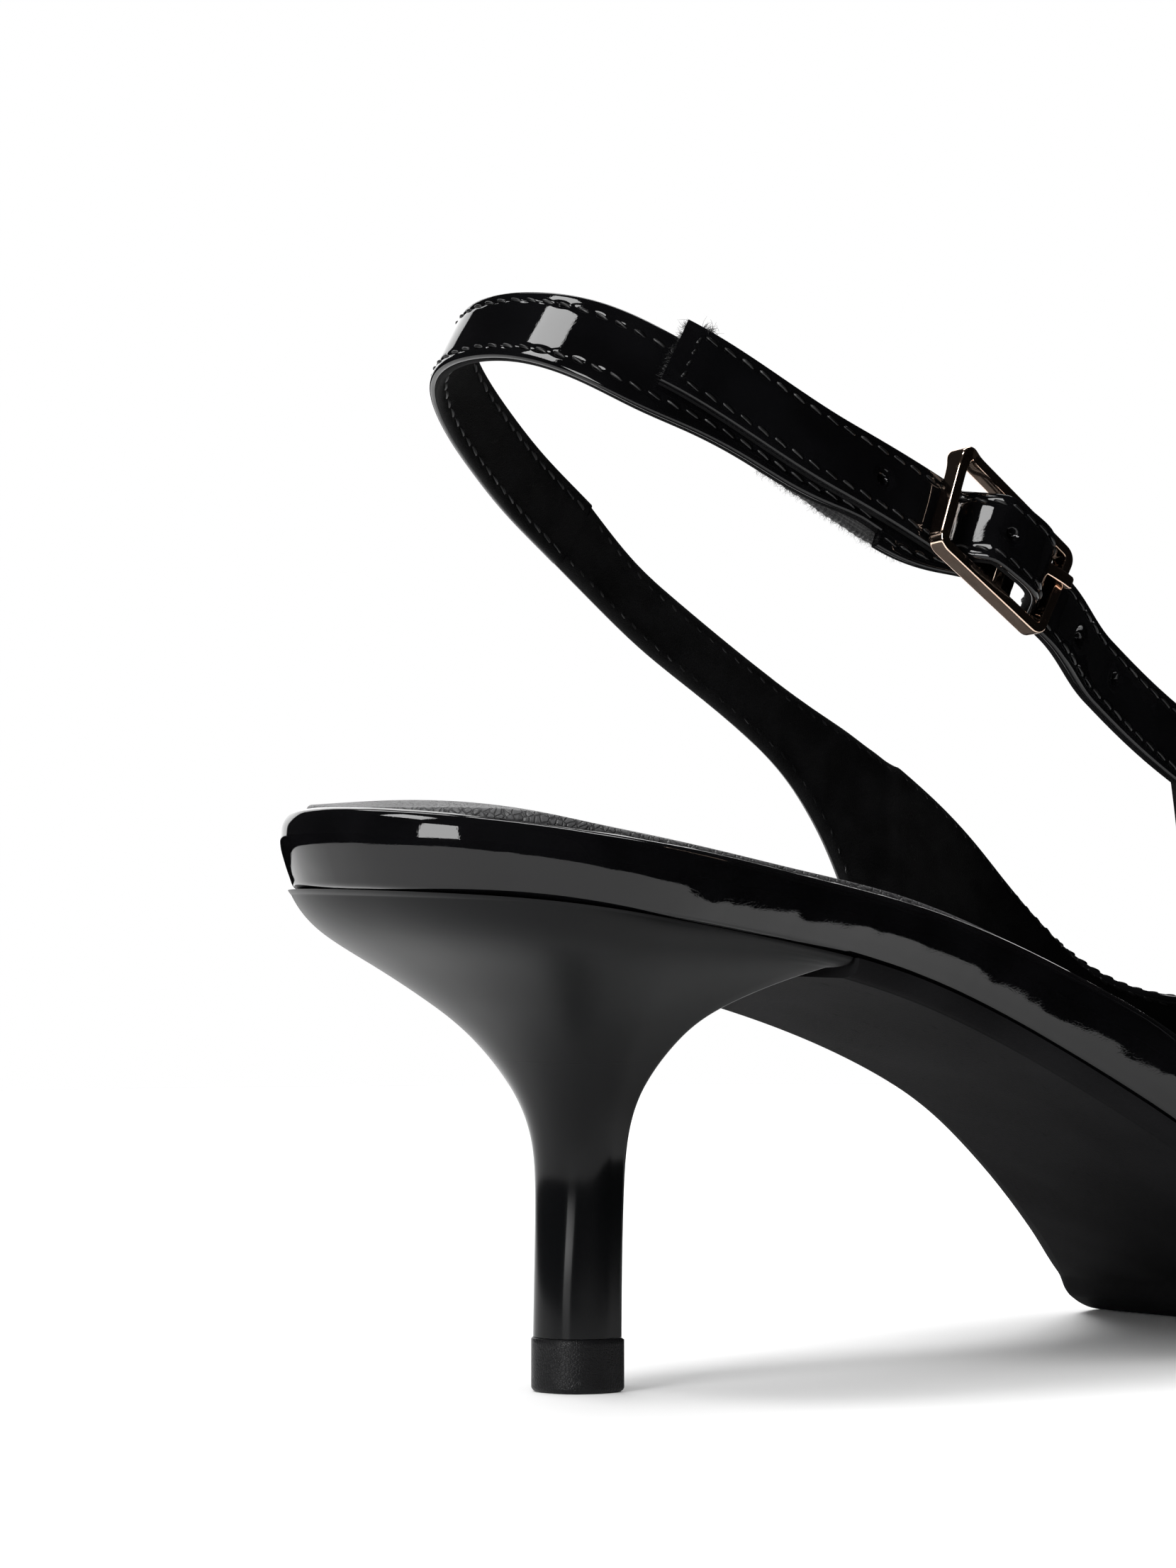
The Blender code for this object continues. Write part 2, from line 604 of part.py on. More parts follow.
def sling_strap():
    """From the inner quarter round behind the heel to the tab on the outer side."""
    start = run_at(INNER_WING_END * LENGTH, 1) + CLEAR
    end = buckle_run() + TAB_START * FRAME_DEPTH - CLEAR
    s = np.linspace(start, end, 44)
    p, _, w, n = frame_on(s)
    p = p - w * sling_drop(s)[:, None]
    verts, faces = strip(p, w, n, STRAP_WIDTH, STRAP_THICK)
    return finish("sling_strap", verts, faces, (0.012, 0.012, 0.013), 0.1)


def tab():
    """Short leather tab that carries the buckle's centre bar."""
    s = np.linspace(TAB[0][0], TAB[-1][0], 14) * FRAME_DEPTH + buckle_run()
    p, _, w, n = frame_on(s)
    lay = sling_drop(s) * (1 - ease((s - s[0]) / (s[-1] - s[0])))
    p = p - w * lay[:, None] + n * rise_on(s, TAB)[:, None]
    verts, faces = strip(p, w, n, 0.86 * STRAP_WIDTH, STRAP_THICK * 0.8)
    return finish("buckle_tab", verts, faces, (0.012, 0.012, 0.013), 0.1)


def elastic():
    """Elastic on the inside of the sling's front end, showing below it."""
    middle_run = buckle_run()
    s = np.linspace(middle_run - ELASTIC_FROM, middle_run - ELASTIC_TO, 12)
    p, _, w, n = frame_on(s)
    down = sling_drop(s) + ELASTIC_DROP * np.sin(np.linspace(0.15, 0.8, 12) * np.pi)
    inside = (STRAP_THICK + ELASTIC_THICK) / 2 + CLEAR
    p = p - w * down[:, None] - n * inside
    verts, faces = strip(p, w, n, ELASTIC_WIDTH, ELASTIC_THICK)
    return finish("elastic", verts, faces, (0.01, 0.01, 0.01), 0.95)


def over_sling(s):
    """The buckle strap lies on the sling behind the buckle and drops to the quarter's line."""
    return (STRAP_THICK + LAP) * (1 - ease((s - buckle_run() - DESCENT_FROM) / DESCENT_RUN))


def prong_path():
    """Tongue from the centre bar up over the front bar: distance towards the toe, rise."""
    top = over_frame() + FRAME_DEPTH + CLEAR + PRONG_THICK / 2
    return np.array((
        (FRAME_BAR / 2 + CLEAR, top - PRONG_DIP),
        (0.2 * FRAME_LENGTH, top - 0.57 * PRONG_DIP),
        (FRAME_LENGTH / 2 - FRAME_BAR, top),
        (PRONG_REACH, top),
    ))


def over_frame():
    """Rise of the frame's underside above the middle of the buckle strap."""
    return STRAP_THICK / 2 + LAP


def prong_solid(name, spare):
    """The tongue, or with spare added the room that its hole takes."""
    rows = prong_path()
    u = np.linspace(0, 1, 9)
    flat = curve(u, np.column_stack([rows, np.zeros(len(rows))]))
    if spare:
        flat[0, 0] = FRAME_BAR / 2
    at, t, w, n = frame_on(np.array([buckle_run()]))
    n_at = n[0] * (STRAP_THICK + LAP)
    path = at[0] + n_at + t[0] * flat[:, :1] + n[0] * flat[:, 1:2]
    along = np.gradient(path, axis=0)
    along /= np.linalg.norm(along, axis=1)[:, None]
    side = np.broadcast_to(w[0], path.shape)
    verts, faces = strip(path, side, np.cross(along, side), PRONG_WIDTH + spare, PRONG_THICK + spare)
    return finish(name, verts, faces, (0.82, 0.62, 0.47), 0.15, 1.0)


def cut(piece, cutter):
    """Take the cutter's room out of the piece."""
    cutter.hide_render = True
    cutter.display_type = "WIRE"
    modifier = piece.modifiers.new("hole", "BOOLEAN")
    modifier.operation = "DIFFERENCE"
    modifier.object = cutter
    modifier.solver = "EXACT"


def buckle_strap():
    """From the outer quarter under the front bar, over the centre bar, and back along the sling."""
    start = run_at(TAIL_END, -1)
    end = run_at(OUTER_WING_END * LENGTH, -1) - SEAM_GAP
    middle_run = buckle_run()
    fine = middle_run + np.linspace(BUMP[0][0], BUMP[-1][0], 34) * FRAME_DEPTH
    s = np.concatenate([np.linspace(start, fine[0], 16)[:-1], fine, np.linspace(fine[-1], end, 10)[1:]])
    p, t, w, n = frame_on(s)
    up = TAIL_LIFT * (1 - ease((s - start) / TAIL_LIFT_RUN))
    p = p + w * up[:, None] + n * (over_sling(s) + rise_on(s, BUMP))[:, None]
    along = np.gradient(p, s, axis=0)
    along /= np.linalg.norm(along, axis=1)[:, None]
    out = np.cross(along, w)
    out /= np.linalg.norm(out, axis=1)[:, None]
    verts, faces = strip(p, w, out, STRAP_WIDTH, STRAP_THICK)
    piece = finish("buckle_strap", verts, faces, (0.012, 0.012, 0.013), 0.1)
    cut(piece, prong_solid("prong_room", 2 * CLEAR))
    return piece


def buckle_frame():
    """Square-edged frame with its centre bar."""
    at, t, w, n = (v[0] for v in frame_on(np.array([buckle_run()])))
    low = at + n * (STRAP_THICK + LAP + over_frame())
    xs = (0.5 * FRAME_LENGTH, 0.5 * FRAME_LENGTH - FRAME_BAR)
    ys = (0.5 * FRAME_WIDTH, 0.5 * FRAME_WIDTH - FRAME_BAR)
    x = (-xs[0], -xs[1], -FRAME_BAR / 2, FRAME_BAR / 2, xs[1], xs[0])
    y = (-ys[0], -ys[1], ys[1], ys[0])
    soft = 0.3 * FRAME_BAR
    rise = (0, FRAME_DEPTH)
    index, verts, faces = {}, [], []
    for k, z in enumerate(rise):
        for i, a in enumerate(x):
            for j, b in enumerate(y):
                corner = i in (0, 5) and j in (0, 3)
                a_in = a * (1 - soft / xs[0]) if corner else a
                b_in = b * (1 - soft / ys[0]) if corner else b
                index[i, j, k] = len(verts)
                verts.append(low + t * a_in + w * b_in + n * z)
    windows = ((1, 1), (3, 1))
    for i in range(5):
        for j in range(3):
            if (i, j) in windows:
                continue
            ring = [(i, j), (i + 1, j), (i + 1, j + 1), (i, j + 1)]
            faces.append([index[a, b, 0] for a, b in ring[::-1]])
            faces.append([index[a, b, 1] for a, b in ring])
            for (a, b), (c, d), beside in (
                ((i, j), (i + 1, j), (i, j - 1)),
                ((i + 1, j), (i + 1, j + 1), (i + 1, j)),
                ((i + 1, j + 1), (i, j + 1), (i, j + 1)),
                ((i, j + 1), (i, j), (i - 1, j)),
            ):
                inside = 0 <= beside[0] < 5 and 0 <= beside[1] < 3
                if not inside or beside in windows:
                    faces.append((index[a, b, 0], index[c, d, 0], index[c, d, 1], index[a, b, 1]))
    piece = finish("buckle_frame", verts, faces, (0.82, 0.62, 0.47), 0.15, 1.0)
    bevel = piece.modifiers.new("soft edges", "BEVEL")
    bevel.width = SOFT_EDGE
    bevel.segments = 1
    bevel.limit_method = "ANGLE"
    bevel.angle_limit = np.radians(50)
    return piece


def top_half(x):
    """Half width between the top edges of the quarters at a station, for the wings."""
    rows = np.array(LOOP)[4:-1]
    more = np.array([(0.440, 0.975, 0), (0.476, 1.008, 0), (0.500, 1.028, 0)])
    rows = np.concatenate([rows, more])
    return SLING_HALF * spline(x / LENGTH, rows[:, 0], rows[:, 1]) + STRAP_THICK / 2


def side_lines(side, end, wing_count, front_count):
    """Lower and upper ends of the upper's lines on one side, with their leaving directions."""
    p, t, w, n = (v[0] for v in frame_on(np.array([run_at(end * LENGTH, side)])))
    first_low = p - w * STRAP_WIDTH / 2 + n * STRAP_THICK / 2
    first_top = p + w * STRAP_WIDTH / 2 + n * STRAP_THICK / 2
    rows = np.array([r for r in WING if r[0] > end + 0.006])
    x_low, x_top = rows[:, 0] * LENGTH, rows[:, 2] * LENGTH
    foot = half_width(rows[:, 0], side) + PROUD
    y_low = foot + (top_half(x_low) - foot) * rows[:, 4]
    low = np.stack([x_low, side * y_low, rows[:, 1] * SLING_HEIGHT], -1)
    top = np.stack([x_top, side * top_half(x_top), rows[:, 3] * SLING_HEIGHT], -1)
    corner_x = QUARTER_AT * LENGTH
    corner_y = side * (half_width(np.array(QUARTER_AT), side) + PROUD)
    corner = np.array([corner_x, corner_y, sole_top(corner_x, corner_y) + FOOT_GAP])
    line = np.array(TOPLINE) * (LENGTH, SLING_HALF, SLING_HEIGHT) * (1, side, 1)
    throat = np.array([[THROAT_AT, 0, THROAT_HEIGHT]])
    mirror = line[-1] * (1, -1, 1)
    line = np.concatenate([line, throat, [mirror]])
    chords = np.concatenate([[0], np.cumsum(np.linalg.norm(np.diff(line, axis=0), axis=1))])
    stop = chords[-2] / chords[-1]
    wing_low = np.concatenate([[first_low], low, [corner]])
    wing_top = np.concatenate([[first_top], top, [line[0]]])
    q = np.linspace(0, 1, wing_count)
    at = np.linspace(0, 1, len(wing_low))
    low_w = np.stack([spline(q, at, c) for c in wing_low.T], -1)
    top_w = np.stack([spline(q, at, c) for c in wing_top.T], -1)
    f = np.linspace(0, 1, front_count)
    u = QUARTER_AT + (1 - QUARTER_AT) * np.sin(f * np.pi / 2)
    grown = outline(u, PROUD)
    ring = grown[:front_count] if side < 0 else grown[: front_count - 2 : -1]
    low_f = np.column_stack([ring, sole_top(ring[:, 0], ring[:, 1]) + FOOT_GAP])
    top_f = curve(f * stop, line)
    low_all = np.concatenate([low_w, low_f[1:]])
    top_all = np.concatenate([top_w, top_f[1:]])
    chord = top_all - low_all
    size = np.linalg.norm(chord, axis=1)[:, None]
    out = np.gradient(ring, axis=0)
    out = np.stack([out[:, 1], -out[:, 0]], -1) * -side / np.linalg.norm(out, axis=1)[:, None]
    out[-1] = (1, 0)
    up_f = 0.88 - 0.30 * ease((f - 0.35) / 0.65)
    rise_f = np.column_stack([0.16 * out, up_f])
    blend = np.concatenate([np.zeros(wing_count), ease(f[1:] / 0.25)])[:, None]
    rise = np.concatenate([np.zeros((wing_count, 3)), rise_f[1:]])
    leave = chord * (1 - blend) + size * rise * blend
    return low_all, top_all, leave, chord


def upper():
    """Vamp and quarters as one hollow wall, open at the collar and underneath."""
    sides = []
    for side, end, count in ((-1, OUTER_WING_END, 9), (1, INNER_WING_END, 17)):
        sides.append(side_lines(side, end, count, 22))
    outer, inner = sides
    low, top, leave, arrive = (np.concatenate([a, b[-2::-1]]) for a, b in zip(outer, inner))
    v = np.linspace(0, 1, 10)[None, :, None]
    low, top, leave, arrive = (a[:, None] for a in (low, top, leave, arrive))
    face = (
        (1 + 2 * v) * (1 - v) ** 2 * low
        + v * (1 - v) ** 2 * leave
        + v * v * (3 - 2 * v) * top
        + v * v * (v - 1) * arrive
    )
    du = np.gradient(face, axis=0)
    dv = np.gradient(face, axis=1)
    n = np.cross(du, dv)
    n /= np.linalg.norm(n, axis=2)[..., None]
    back = face - n * WALL
    foot = slice(8, len(face) - 16)
    x, y = back[foot, 0, 0], back[foot, 0, 1]
    back[foot, 0, 2] = sole_top(x, y) + FOOT_GAP
    rows, cols = face.shape[:2]
    verts = np.concatenate([face.reshape(-1, 3), back.reshape(-1, 3)])
    shift = rows * cols
    faces = quads(rows, cols) + quads(rows, cols, shift, True)
    edge = [i * cols for i in range(rows)]
    edge += [(rows - 1) * cols + j for j in range(1, cols)]
    edge += [i * cols + cols - 1 for i in range(rows - 2, -1, -1)]
    edge += list(range(cols - 2, 0, -1))
    for a, b in zip(edge, edge[1:] + edge[:1]):
        faces.append((a, b, b + shift, a + shift))
    return finish("upper", verts, faces, (0.012, 0.012, 0.013), 0.1)


for old in list(bpy.data.objects):
    bpy.data.objects.remove(old, do_unlink=True)
shoe = bpy.data.objects.new("shoe", None)
bpy.context.collection.objects.link(shoe)
shoe.location = (-HEEL_AT, 0, 0)

outsole()
heel()
top_piece()
footbed()
sock()
upper()
sling_strap()
buckle_strap()
tab()
elastic()
buckle_frame()
prong_solid("buckle_prong", 0.0)
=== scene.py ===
"""Looks of a black patent slingback pump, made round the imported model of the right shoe.

Lengths are metres. Shapes are worked out in the last's own frame, where X is the station from
the back of the seat; every finished mesh is then moved back by HEEL_AT, into the model's frame.
"""

import bmesh
import bpy
import numpy as np
from mathutils import Matrix, Vector


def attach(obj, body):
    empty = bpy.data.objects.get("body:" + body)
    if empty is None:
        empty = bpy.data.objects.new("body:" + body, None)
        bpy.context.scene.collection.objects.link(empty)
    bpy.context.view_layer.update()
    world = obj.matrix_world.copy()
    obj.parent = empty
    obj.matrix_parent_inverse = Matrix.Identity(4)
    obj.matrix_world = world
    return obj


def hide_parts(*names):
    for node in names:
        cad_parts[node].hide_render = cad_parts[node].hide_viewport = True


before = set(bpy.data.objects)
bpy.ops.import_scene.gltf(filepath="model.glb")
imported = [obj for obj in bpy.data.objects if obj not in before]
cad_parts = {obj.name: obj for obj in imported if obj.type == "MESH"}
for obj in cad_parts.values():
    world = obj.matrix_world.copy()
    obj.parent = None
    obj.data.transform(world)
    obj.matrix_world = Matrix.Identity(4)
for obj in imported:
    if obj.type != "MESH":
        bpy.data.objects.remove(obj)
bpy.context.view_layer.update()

bl_info = {
    "name": "Slingback pump looks",
    "version": (1, 0, 0),
    "blender": (4, 5, 0),
    "location": "View3D > Sidebar > Pump",
    "description": "Dresses the packed pump in patent leather, stitches, buckle and studio",
    "category": "Object",
}

# Sizes of the last and the parts, in metres unless they are shares; gaps are closer than the model's
LENGTH = 0.250
BALL_WIDTH = 0.0756
SEAT_WIDTH = 0.052
SEAT_HEIGHT = 0.0568
TOE_SPRING = 0.0070
TOE_SWING = 0.0080
BALL_SKEW = 0.16
ARCH_LIFT = 0.0030
BREAST_AT = 0.0553
HEEL_AT = 0.0346
EDGE_HEIGHT = 0.0081
FOREPART_BOARD = 0.0028
TREAD = 0.0036
WAIST_SOLE = 0.0023
WALL = 0.0015
BOARD_ROOM = 0.0013
PROUD = 0.0004
SOCK_THICK = 0.0007
SOCK_DOME = 0.0026
DISH = 0.0008
SOCK_INSET = 0.0028
HEEL_INSET = 0.0022
TIP_WIDTH = 0.0096
TIP_DEPTH = 0.0073
TOP_PIECE = 0.0060
TIP_PROUD = 0.0002
TIP_ROUND = 0.0006
BREAST_HOLLOW = 0.0060
BREAST_SOFT = 0.0007
STRAP_WIDTH = 0.0083
STRAP_THICK = 0.0016
SLING_HEIGHT = 0.1168
SLING_HALF = 0.0302
STRAP_TILT = 32.0
THROAT_AT = 0.1785
THROAT_HEIGHT = 0.0408
CLEAR = 0.00006
FOOT_GAP = 0.0005
LAP = 0.0004
SEAM_GAP = 0.00008
TOP_GAP = 0.0004
FRAME_LENGTH = 0.0195
FRAME_DEPTH = 0.0016
FRAME_BAR = 0.0015
BUCKLE_AT = 0.0682
PRONG_THICK = 0.0011
PRONG_DIP = 0.0014
ELASTIC_WIDTH = 0.0080
ELASTIC_THICK = 0.0012
ELASTIC_FROM = 0.0290
ELASTIC_TO = 0.0090
TAIL_LIFT = 0.0012
TAIL_LIFT_RUN = 0.0220
DESCENT_FROM = 0.0110
DESCENT_RUN = 0.0130
TAIL_END = 0.0325
SEAT_ROUND = 0.128
SEAT_POWER = 2.3
TOE_POWER = 0.9
OUTER_BALL = 0.624
INNER_BALL = 0.672
OUTER_SHARE = 1.030
INNER_SHARE = 0.970
STEP_AT = 0.584
STEP_RUN = 0.010
HEEL_POWER = 2.25
TIP_WIDEST = 0.72
CUP_WIDEST = 0.82
OUTER_SAG = 0.0011
INNER_WING_END = 0.256
OUTER_WING_END = 0.416
QUARTER_AT = 0.433
FLAT_FROM, FLAT_TO = 0.632, 0.740

# Sizes that only the dressed pieces have
CROWN = 0.00012         # rise of a strap's face at its middle
GROOVE = 0.00014        # groove between a strap's two layers
THREAD_DIP = 0.00022    # how far a stitch pulls the leather in
THREAD_DIP_REACH = 0.00030
STITCH_GAP = 0.22       # share of a stitch that lies inside the leather
HOLE_RADIUS = 0.00072
HOLE_RIM = 0.00026
HOLE_DEPTH = 0.0011
HOLE_ZONE = 0.0024      # finer rows of the strap on both sides of a hole
UPPER_GROOVE = 0.00016
UPPER_GROOVE_REACH = 0.0005
CORNER_ROUND = 0.0012   # rounding of the buckle frame's corners
KNOB = 0.38             # share by which the bar swells at the frame's rear top corner
KNOB_REACH = 0.0013
PRONG_WIDTH = 0.0015
PRONG_REACH = 0.0090
PRONG_UP = 0.0005       # the prong lies above the middle of the strap
CROSS_SEAM = 0.0019     # the cross stitching's distance from the buckle strap's free end
FIBRES = {
    # loose fibres: how many, shortest, longest, radius
    "end_fibres": (340, 0.0002, 0.0007, 0.000028),
    "end_tuft": (110, 0.0004, 0.0011, 0.000032),
    "elastic_fibres": (1500, 0.0002, 0.0007, 0.000018),
}
SHARP = np.radians(52)  # edges that bend more are drawn sharp
COLUMNS = 300           # stations along the sole's outlines

# Tables of the last and the straps, in shares of the sizes above where no unit is given
WAIST_WIDTHS = (
    # station, outer side, inner side
    (0.128, 0.688, 0.688), (0.216, 0.661, 0.622), (0.320, 0.627, 0.522),
    (0.400, 0.669, 0.488), (0.480, 0.800, 0.552), (0.560, 0.957, 0.725),
)
RISE = (
    # station, rise of the sole
    (0.000, 0.9850), (0.036, 0.9700), (0.090, 0.9345), (0.182, 0.8650), (0.264, 0.7825),
    (0.340, 0.6600), (0.392, 0.5520), (0.438, 0.4420), (0.480, 0.3250), (0.520, 0.2140),
    (0.560, 0.1110), (0.600, 0.0350), (0.632, 0.0000),
)
EDGE = (
    # station, height of the insole's edge
    (0.00, 1.10), (0.036, 1.02), (0.13, 0.97), (0.20, 0.94), (0.26, 1.00), (0.34, 1.15),
    (0.39, 1.25), (0.43, 1.29), (0.48, 1.10), (0.56, 0.55),
)
EDGE_PROFILE = (
    # height, inset
    (0.00, 0.275), (0.025, 0.205), (0.07, 0.164), (0.14, 0.138), (0.27, 0.090), (0.40, 0.048),
    (0.50, 0.019), (0.58, 0.005), (0.66, 0.0), (0.765, 0.006), (0.85, 0.028), (0.92, 0.068),
    (0.965, 0.122), (1.00, 0.225),
)
SOLE_PROFILE = (
    # depth, inset in the waist, inset in the tread
    (1.00, 0.038, 0.0066), (0.78, 0.020, 0.0), (0.40, 0.0106, -0.0033), (0.00, 0.0093, -0.0033),
)
SOLE_RIM = (
    # rounding of the sole's lower rim: depth, more inset
    (1.0, 0.0045), (1.0, 0.0022), (0.975, 0.0008),
)
HEEL = (
    # height at back, height at front, back, widest, front, width
    (0.000, 0.000, 0.000, 0.000, 0.000, 0.000),
    (0.140, 0.140, -0.008, 0.000, 0.004, 0.000),
    (0.300, 0.300, -0.020, 0.000, 0.010, 0.008),
    (0.430, 0.430, -0.005, 0.005, 0.020, 0.035),
    (0.545, 0.540, 0.080, 0.035, 0.045, 0.140),
    (0.655, 0.640, 0.235, 0.150, 0.135, 0.325),
    (0.735, 0.712, 0.415, 0.300, 0.300, 0.520),
    (0.810, 0.772, 0.615, 0.530, 0.640, 0.740),
    (0.890, 0.806, 0.845, 0.790, 0.900, 0.915),
    (0.960, 0.822, 0.965, 0.940, 0.985, 0.985),
    (1.000, 0.830, 1.000, 1.000, 1.000, 1.000),
)
LOOP = (
    # station, half width, height
    (0.1000, 0.000, 1.0000), (0.1104, 0.358, 0.9870), (0.1390, 0.603, 0.9530),
    (0.1840, 0.795, 0.8990), (0.2208, 0.907, 0.8562), (0.2560, 0.967, 0.8134),
    (0.2868, 0.993, 0.7705), (0.3180, 1.000, 0.7277), (0.3488, 0.987, 0.6849),
    (0.3796, 0.967, 0.6439), (0.4060, 0.957, 0.6121), (0.4280, 0.960, 0.5870),
)
WING = (
    # rear station, rear height, top station, top height, lean of the rear edge
    (0.286, 0.7350, 0.300, 0.7900, 1.13), (0.316, 0.6945, 0.332, 0.7460, 1.12),
    (0.346, 0.6550, 0.364, 0.7035, 1.09), (0.374, 0.6140, 0.396, 0.6630, 1.05),
    (0.397, 0.5715, 0.422, 0.6350, 1.00), (0.4125, 0.5240, 0.440, 0.6170, 0.89),
    (0.4210, 0.4765, 0.4530, 0.6030, 0.74), (0.4255, 0.4100, 0.4620, 0.5935, 0.50),
    (0.4290, 0.3260, 0.4690, 0.5860, 0.24),
)
TOPLINE = (
    # station, half width, height
    (0.476, 1.008, 0.5780), (0.500, 1.028, 0.5500), (0.540, 1.058, 0.4960),
    (0.582, 1.068, 0.4280), (0.612, 1.058, 0.3850), (0.640, 1.020, 0.3540),
    (0.666, 0.942, 0.3385), (0.690, 0.775, 0.3350), (0.708, 0.470, 0.3400),
)
BUMP = (
    # distance towards the toe, rise, both in thicknesses of the buckle's frame
    (-5.6, 0.0), (-4.6, 0.0), (-4.05, 0.04), (-3.75, 0.22), (-3.55, 0.58), (-3.2, 1.25),
    (-2.85, 1.91), (-2.5, 2.58), (-2.2, 3.02), (-1.8, 3.20), (-1.0, 3.22), (0.0, 3.16),
    (1.6, 2.98), (2.8, 2.30), (3.9, 1.02), (4.9, 0.10), (5.9, 0.0),
)
TAB = (
    # the same for the buckle's tab
    (-8.6, 0.0), (-5.6, 0.0), (-3.2, 0.45), (-1.3, 1.22), (0.0, 1.36), (1.4, 1.30), (2.7, 1.05),
)
TAB_DROP = 0.0029
SLING_LAY = (
    # distance towards the toe from the buckle, drop below the line, width: all in millimetres
    (-72, 0.0, 8.3), (-60, 0.10, 8.55), (-53, 0.47, 9.30), (-48, 0.82, 9.70), (-44, 0.98, 9.70),
    (-38, 0.80, 9.15), (-32, 0.80, 8.75), (-26, 1.15, 8.40), (-21, 1.05, 8.00), (-16, 0.80, 7.40),
    (-11, 1.00, 7.80),
)
HOLES = (
    # adjusting holes: distance towards the toe from the buckle, and up from the strap's middle
    (-0.01665, -0.00016), (-0.0023, -0.0001), (0.01705, -0.00029), (0.0263, 0.0004),
)
FRAME_CORNERS = (
    # middle of the bars at the corners, from the rear top one round: shares of length and width
    (-0.5500, 0.4980), (-0.5050, -0.3950), (0.4110, -0.4730), (0.4620, 0.3560),
)

# Camera and light, in the model's frame
CAMERA_AT = (-0.6335, -0.6363, 0.0794)
CAMERA_LOOKS = (0.0028, 0.0, 0.0668)
LENS = 187.6            # millimetres on a 36 mm sensor along the picture's height
SOFTBOXES = (
    # name, place, point that it faces, width, height, setting of its power
    ("side softbox", (-1.614, -0.343, 0.30), (-0.03, 0.0, 0.30), 0.66, 1.6, "key"),
    ("top softbox", (-0.875, 0.352, 1.424), (-0.01, 0.0, 0.116), 0.58, 0.42, "top"),
    ("overhead fill", (0.1, 0.1, 1.7), (0.1, 0.1, 0.0), 3.6, 3.6, "fill"),
    ("overhead strip", (0.75, 0.75, 1.6), (0.0, 0.0, 0.05), 1.6, 0.45, "over"),
)
TABLE_AT, TABLE_RADIUS = 0.09, 0.60
CLOTH_AT, CLOTH_RADIUS, CLOTH_HEIGHT = 0.07, 2.2, 0.0004
CLOTH = (
    # black cloth round the shoe: angle in degrees, distance of its inner edge in metres
    (-180, 0.33), (-160, 0.28), (-140, 0.245), (-125, 0.20), (-105, 0.125), (-90, 0.095),
    (-60, 0.105), (-35, 0.16), (-10, 0.34), (30, 0.42), (90, 0.36), (140, 0.34), (180, 0.33),
)
UPRIGHTS = {
    # stage arcs: first and last angle in degrees, steps, radius, middle along X, foot, top
    "backdrop": (38, 76, 40, 2.0, 0.0, -0.6, 1.25),
    "flag": (-108, -30, 24, 0.34, 0.05, -0.05, 0.5),
}
STUDIO_LIGHT = 0.014    # strength of the world where the camera doesn't see it

RNG = np.random.default_rng(4)


def spline(x, xs, ys, first=None, last=None):
    """Piecewise cubic through the points, with no jump in bend; end slopes free or given."""
    xs, ys = np.asarray(xs, float), np.asarray(ys, float)
    n, h = len(xs), np.diff(xs)
    rise = np.diff(ys) / h
    a, b = np.zeros((n, n)), np.zeros(n)
    for i in range(1, n - 1):
        a[i, i - 1 : i + 2] = h[i], 2 * (h[i - 1] + h[i]), h[i - 1]
        b[i] = 3 * (h[i] * rise[i - 1] + h[i - 1] * rise[i])
    a[0, :2], b[0] = ((1, 0), first) if first is not None else ((2, 1), 3 * rise[0])
    a[-1, -2:], b[-1] = ((0, 1), last) if last is not None else ((1, 2), 3 * rise[-1])
    m = np.linalg.solve(a, b)
    x = np.asarray(x, float)
    i = np.clip(np.searchsorted(xs, x) - 1, 0, n - 2)
    t = (x - xs[i]) / h[i]
    return (
        (1 + 2 * t) * (1 - t) ** 2 * ys[i]
        + t * (1 - t) ** 2 * h[i] * m[i]
        + t * t * (3 - 2 * t) * ys[i + 1]
        + t * t * (t - 1) * h[i] * m[i + 1]
    )


def curve(t, points):
    """Space curve: each coordinate a cubic spline over the chord length, t from 0 to 1."""
    points = np.asarray(points, float)
    at = np.concatenate([[0], np.cumsum(np.linalg.norm(np.diff(points, axis=0), axis=1))])
    return np.stack([spline(np.asarray(t) * at[-1], at, c) for c in points.T], -1)


def ease(x):
    """3x^2 - 2x^3 between 0 and 1, held at both ends."""
    x = np.clip(x, 0, 1)
    return x * x * (3 - 2 * x)


def unit(v):
    """Vectors of length one."""
    return v / np.linalg.norm(v, axis=-1)[..., None]


def half_width(u, side):
    """Insole's half width: a power curve round the seat, splines in the waist, an arc at the toe."""
    half = BALL_WIDTH / 2
    outer = side < 0
    ball = np.where(outer, OUTER_BALL, INNER_BALL)
    widest = half * np.where(outer, OUTER_SHARE, INNER_SHARE)
    rows = np.array(WAIST_WIDTHS)
    waist = []
    for column, at, top in ((1, OUTER_BALL, OUTER_SHARE), (2, INNER_BALL, INNER_SHARE)):
        start = SEAT_WIDTH / 2 / half
        xs = np.append(rows[:, 0], at)
        ys = np.append(rows[:, column] * start / rows[0, column], top)
        waist.append(half * spline(np.clip(u, SEAT_ROUND, at), xs, ys, 0, 0))
    waist = np.where(outer, waist[0], waist[1])
    seat = SEAT_WIDTH / 2 * np.sqrt(1 - np.clip(1 - u / SEAT_ROUND, 0, 1) ** SEAT_POWER)
    toe = widest * (1 - np.clip((u - ball) / (1 - ball), 0, 1) ** 2) ** TOE_POWER
    return np.where(u < SEAT_ROUND, seat, np.where(u < ball, waist, toe))


def middle(u):
    """The toe's swing to the inner side, growing with the square of the way to the tip."""
    return TOE_SWING * np.clip((u - OUTER_BALL) / (1 - OUTER_BALL), 0, 1) ** 2


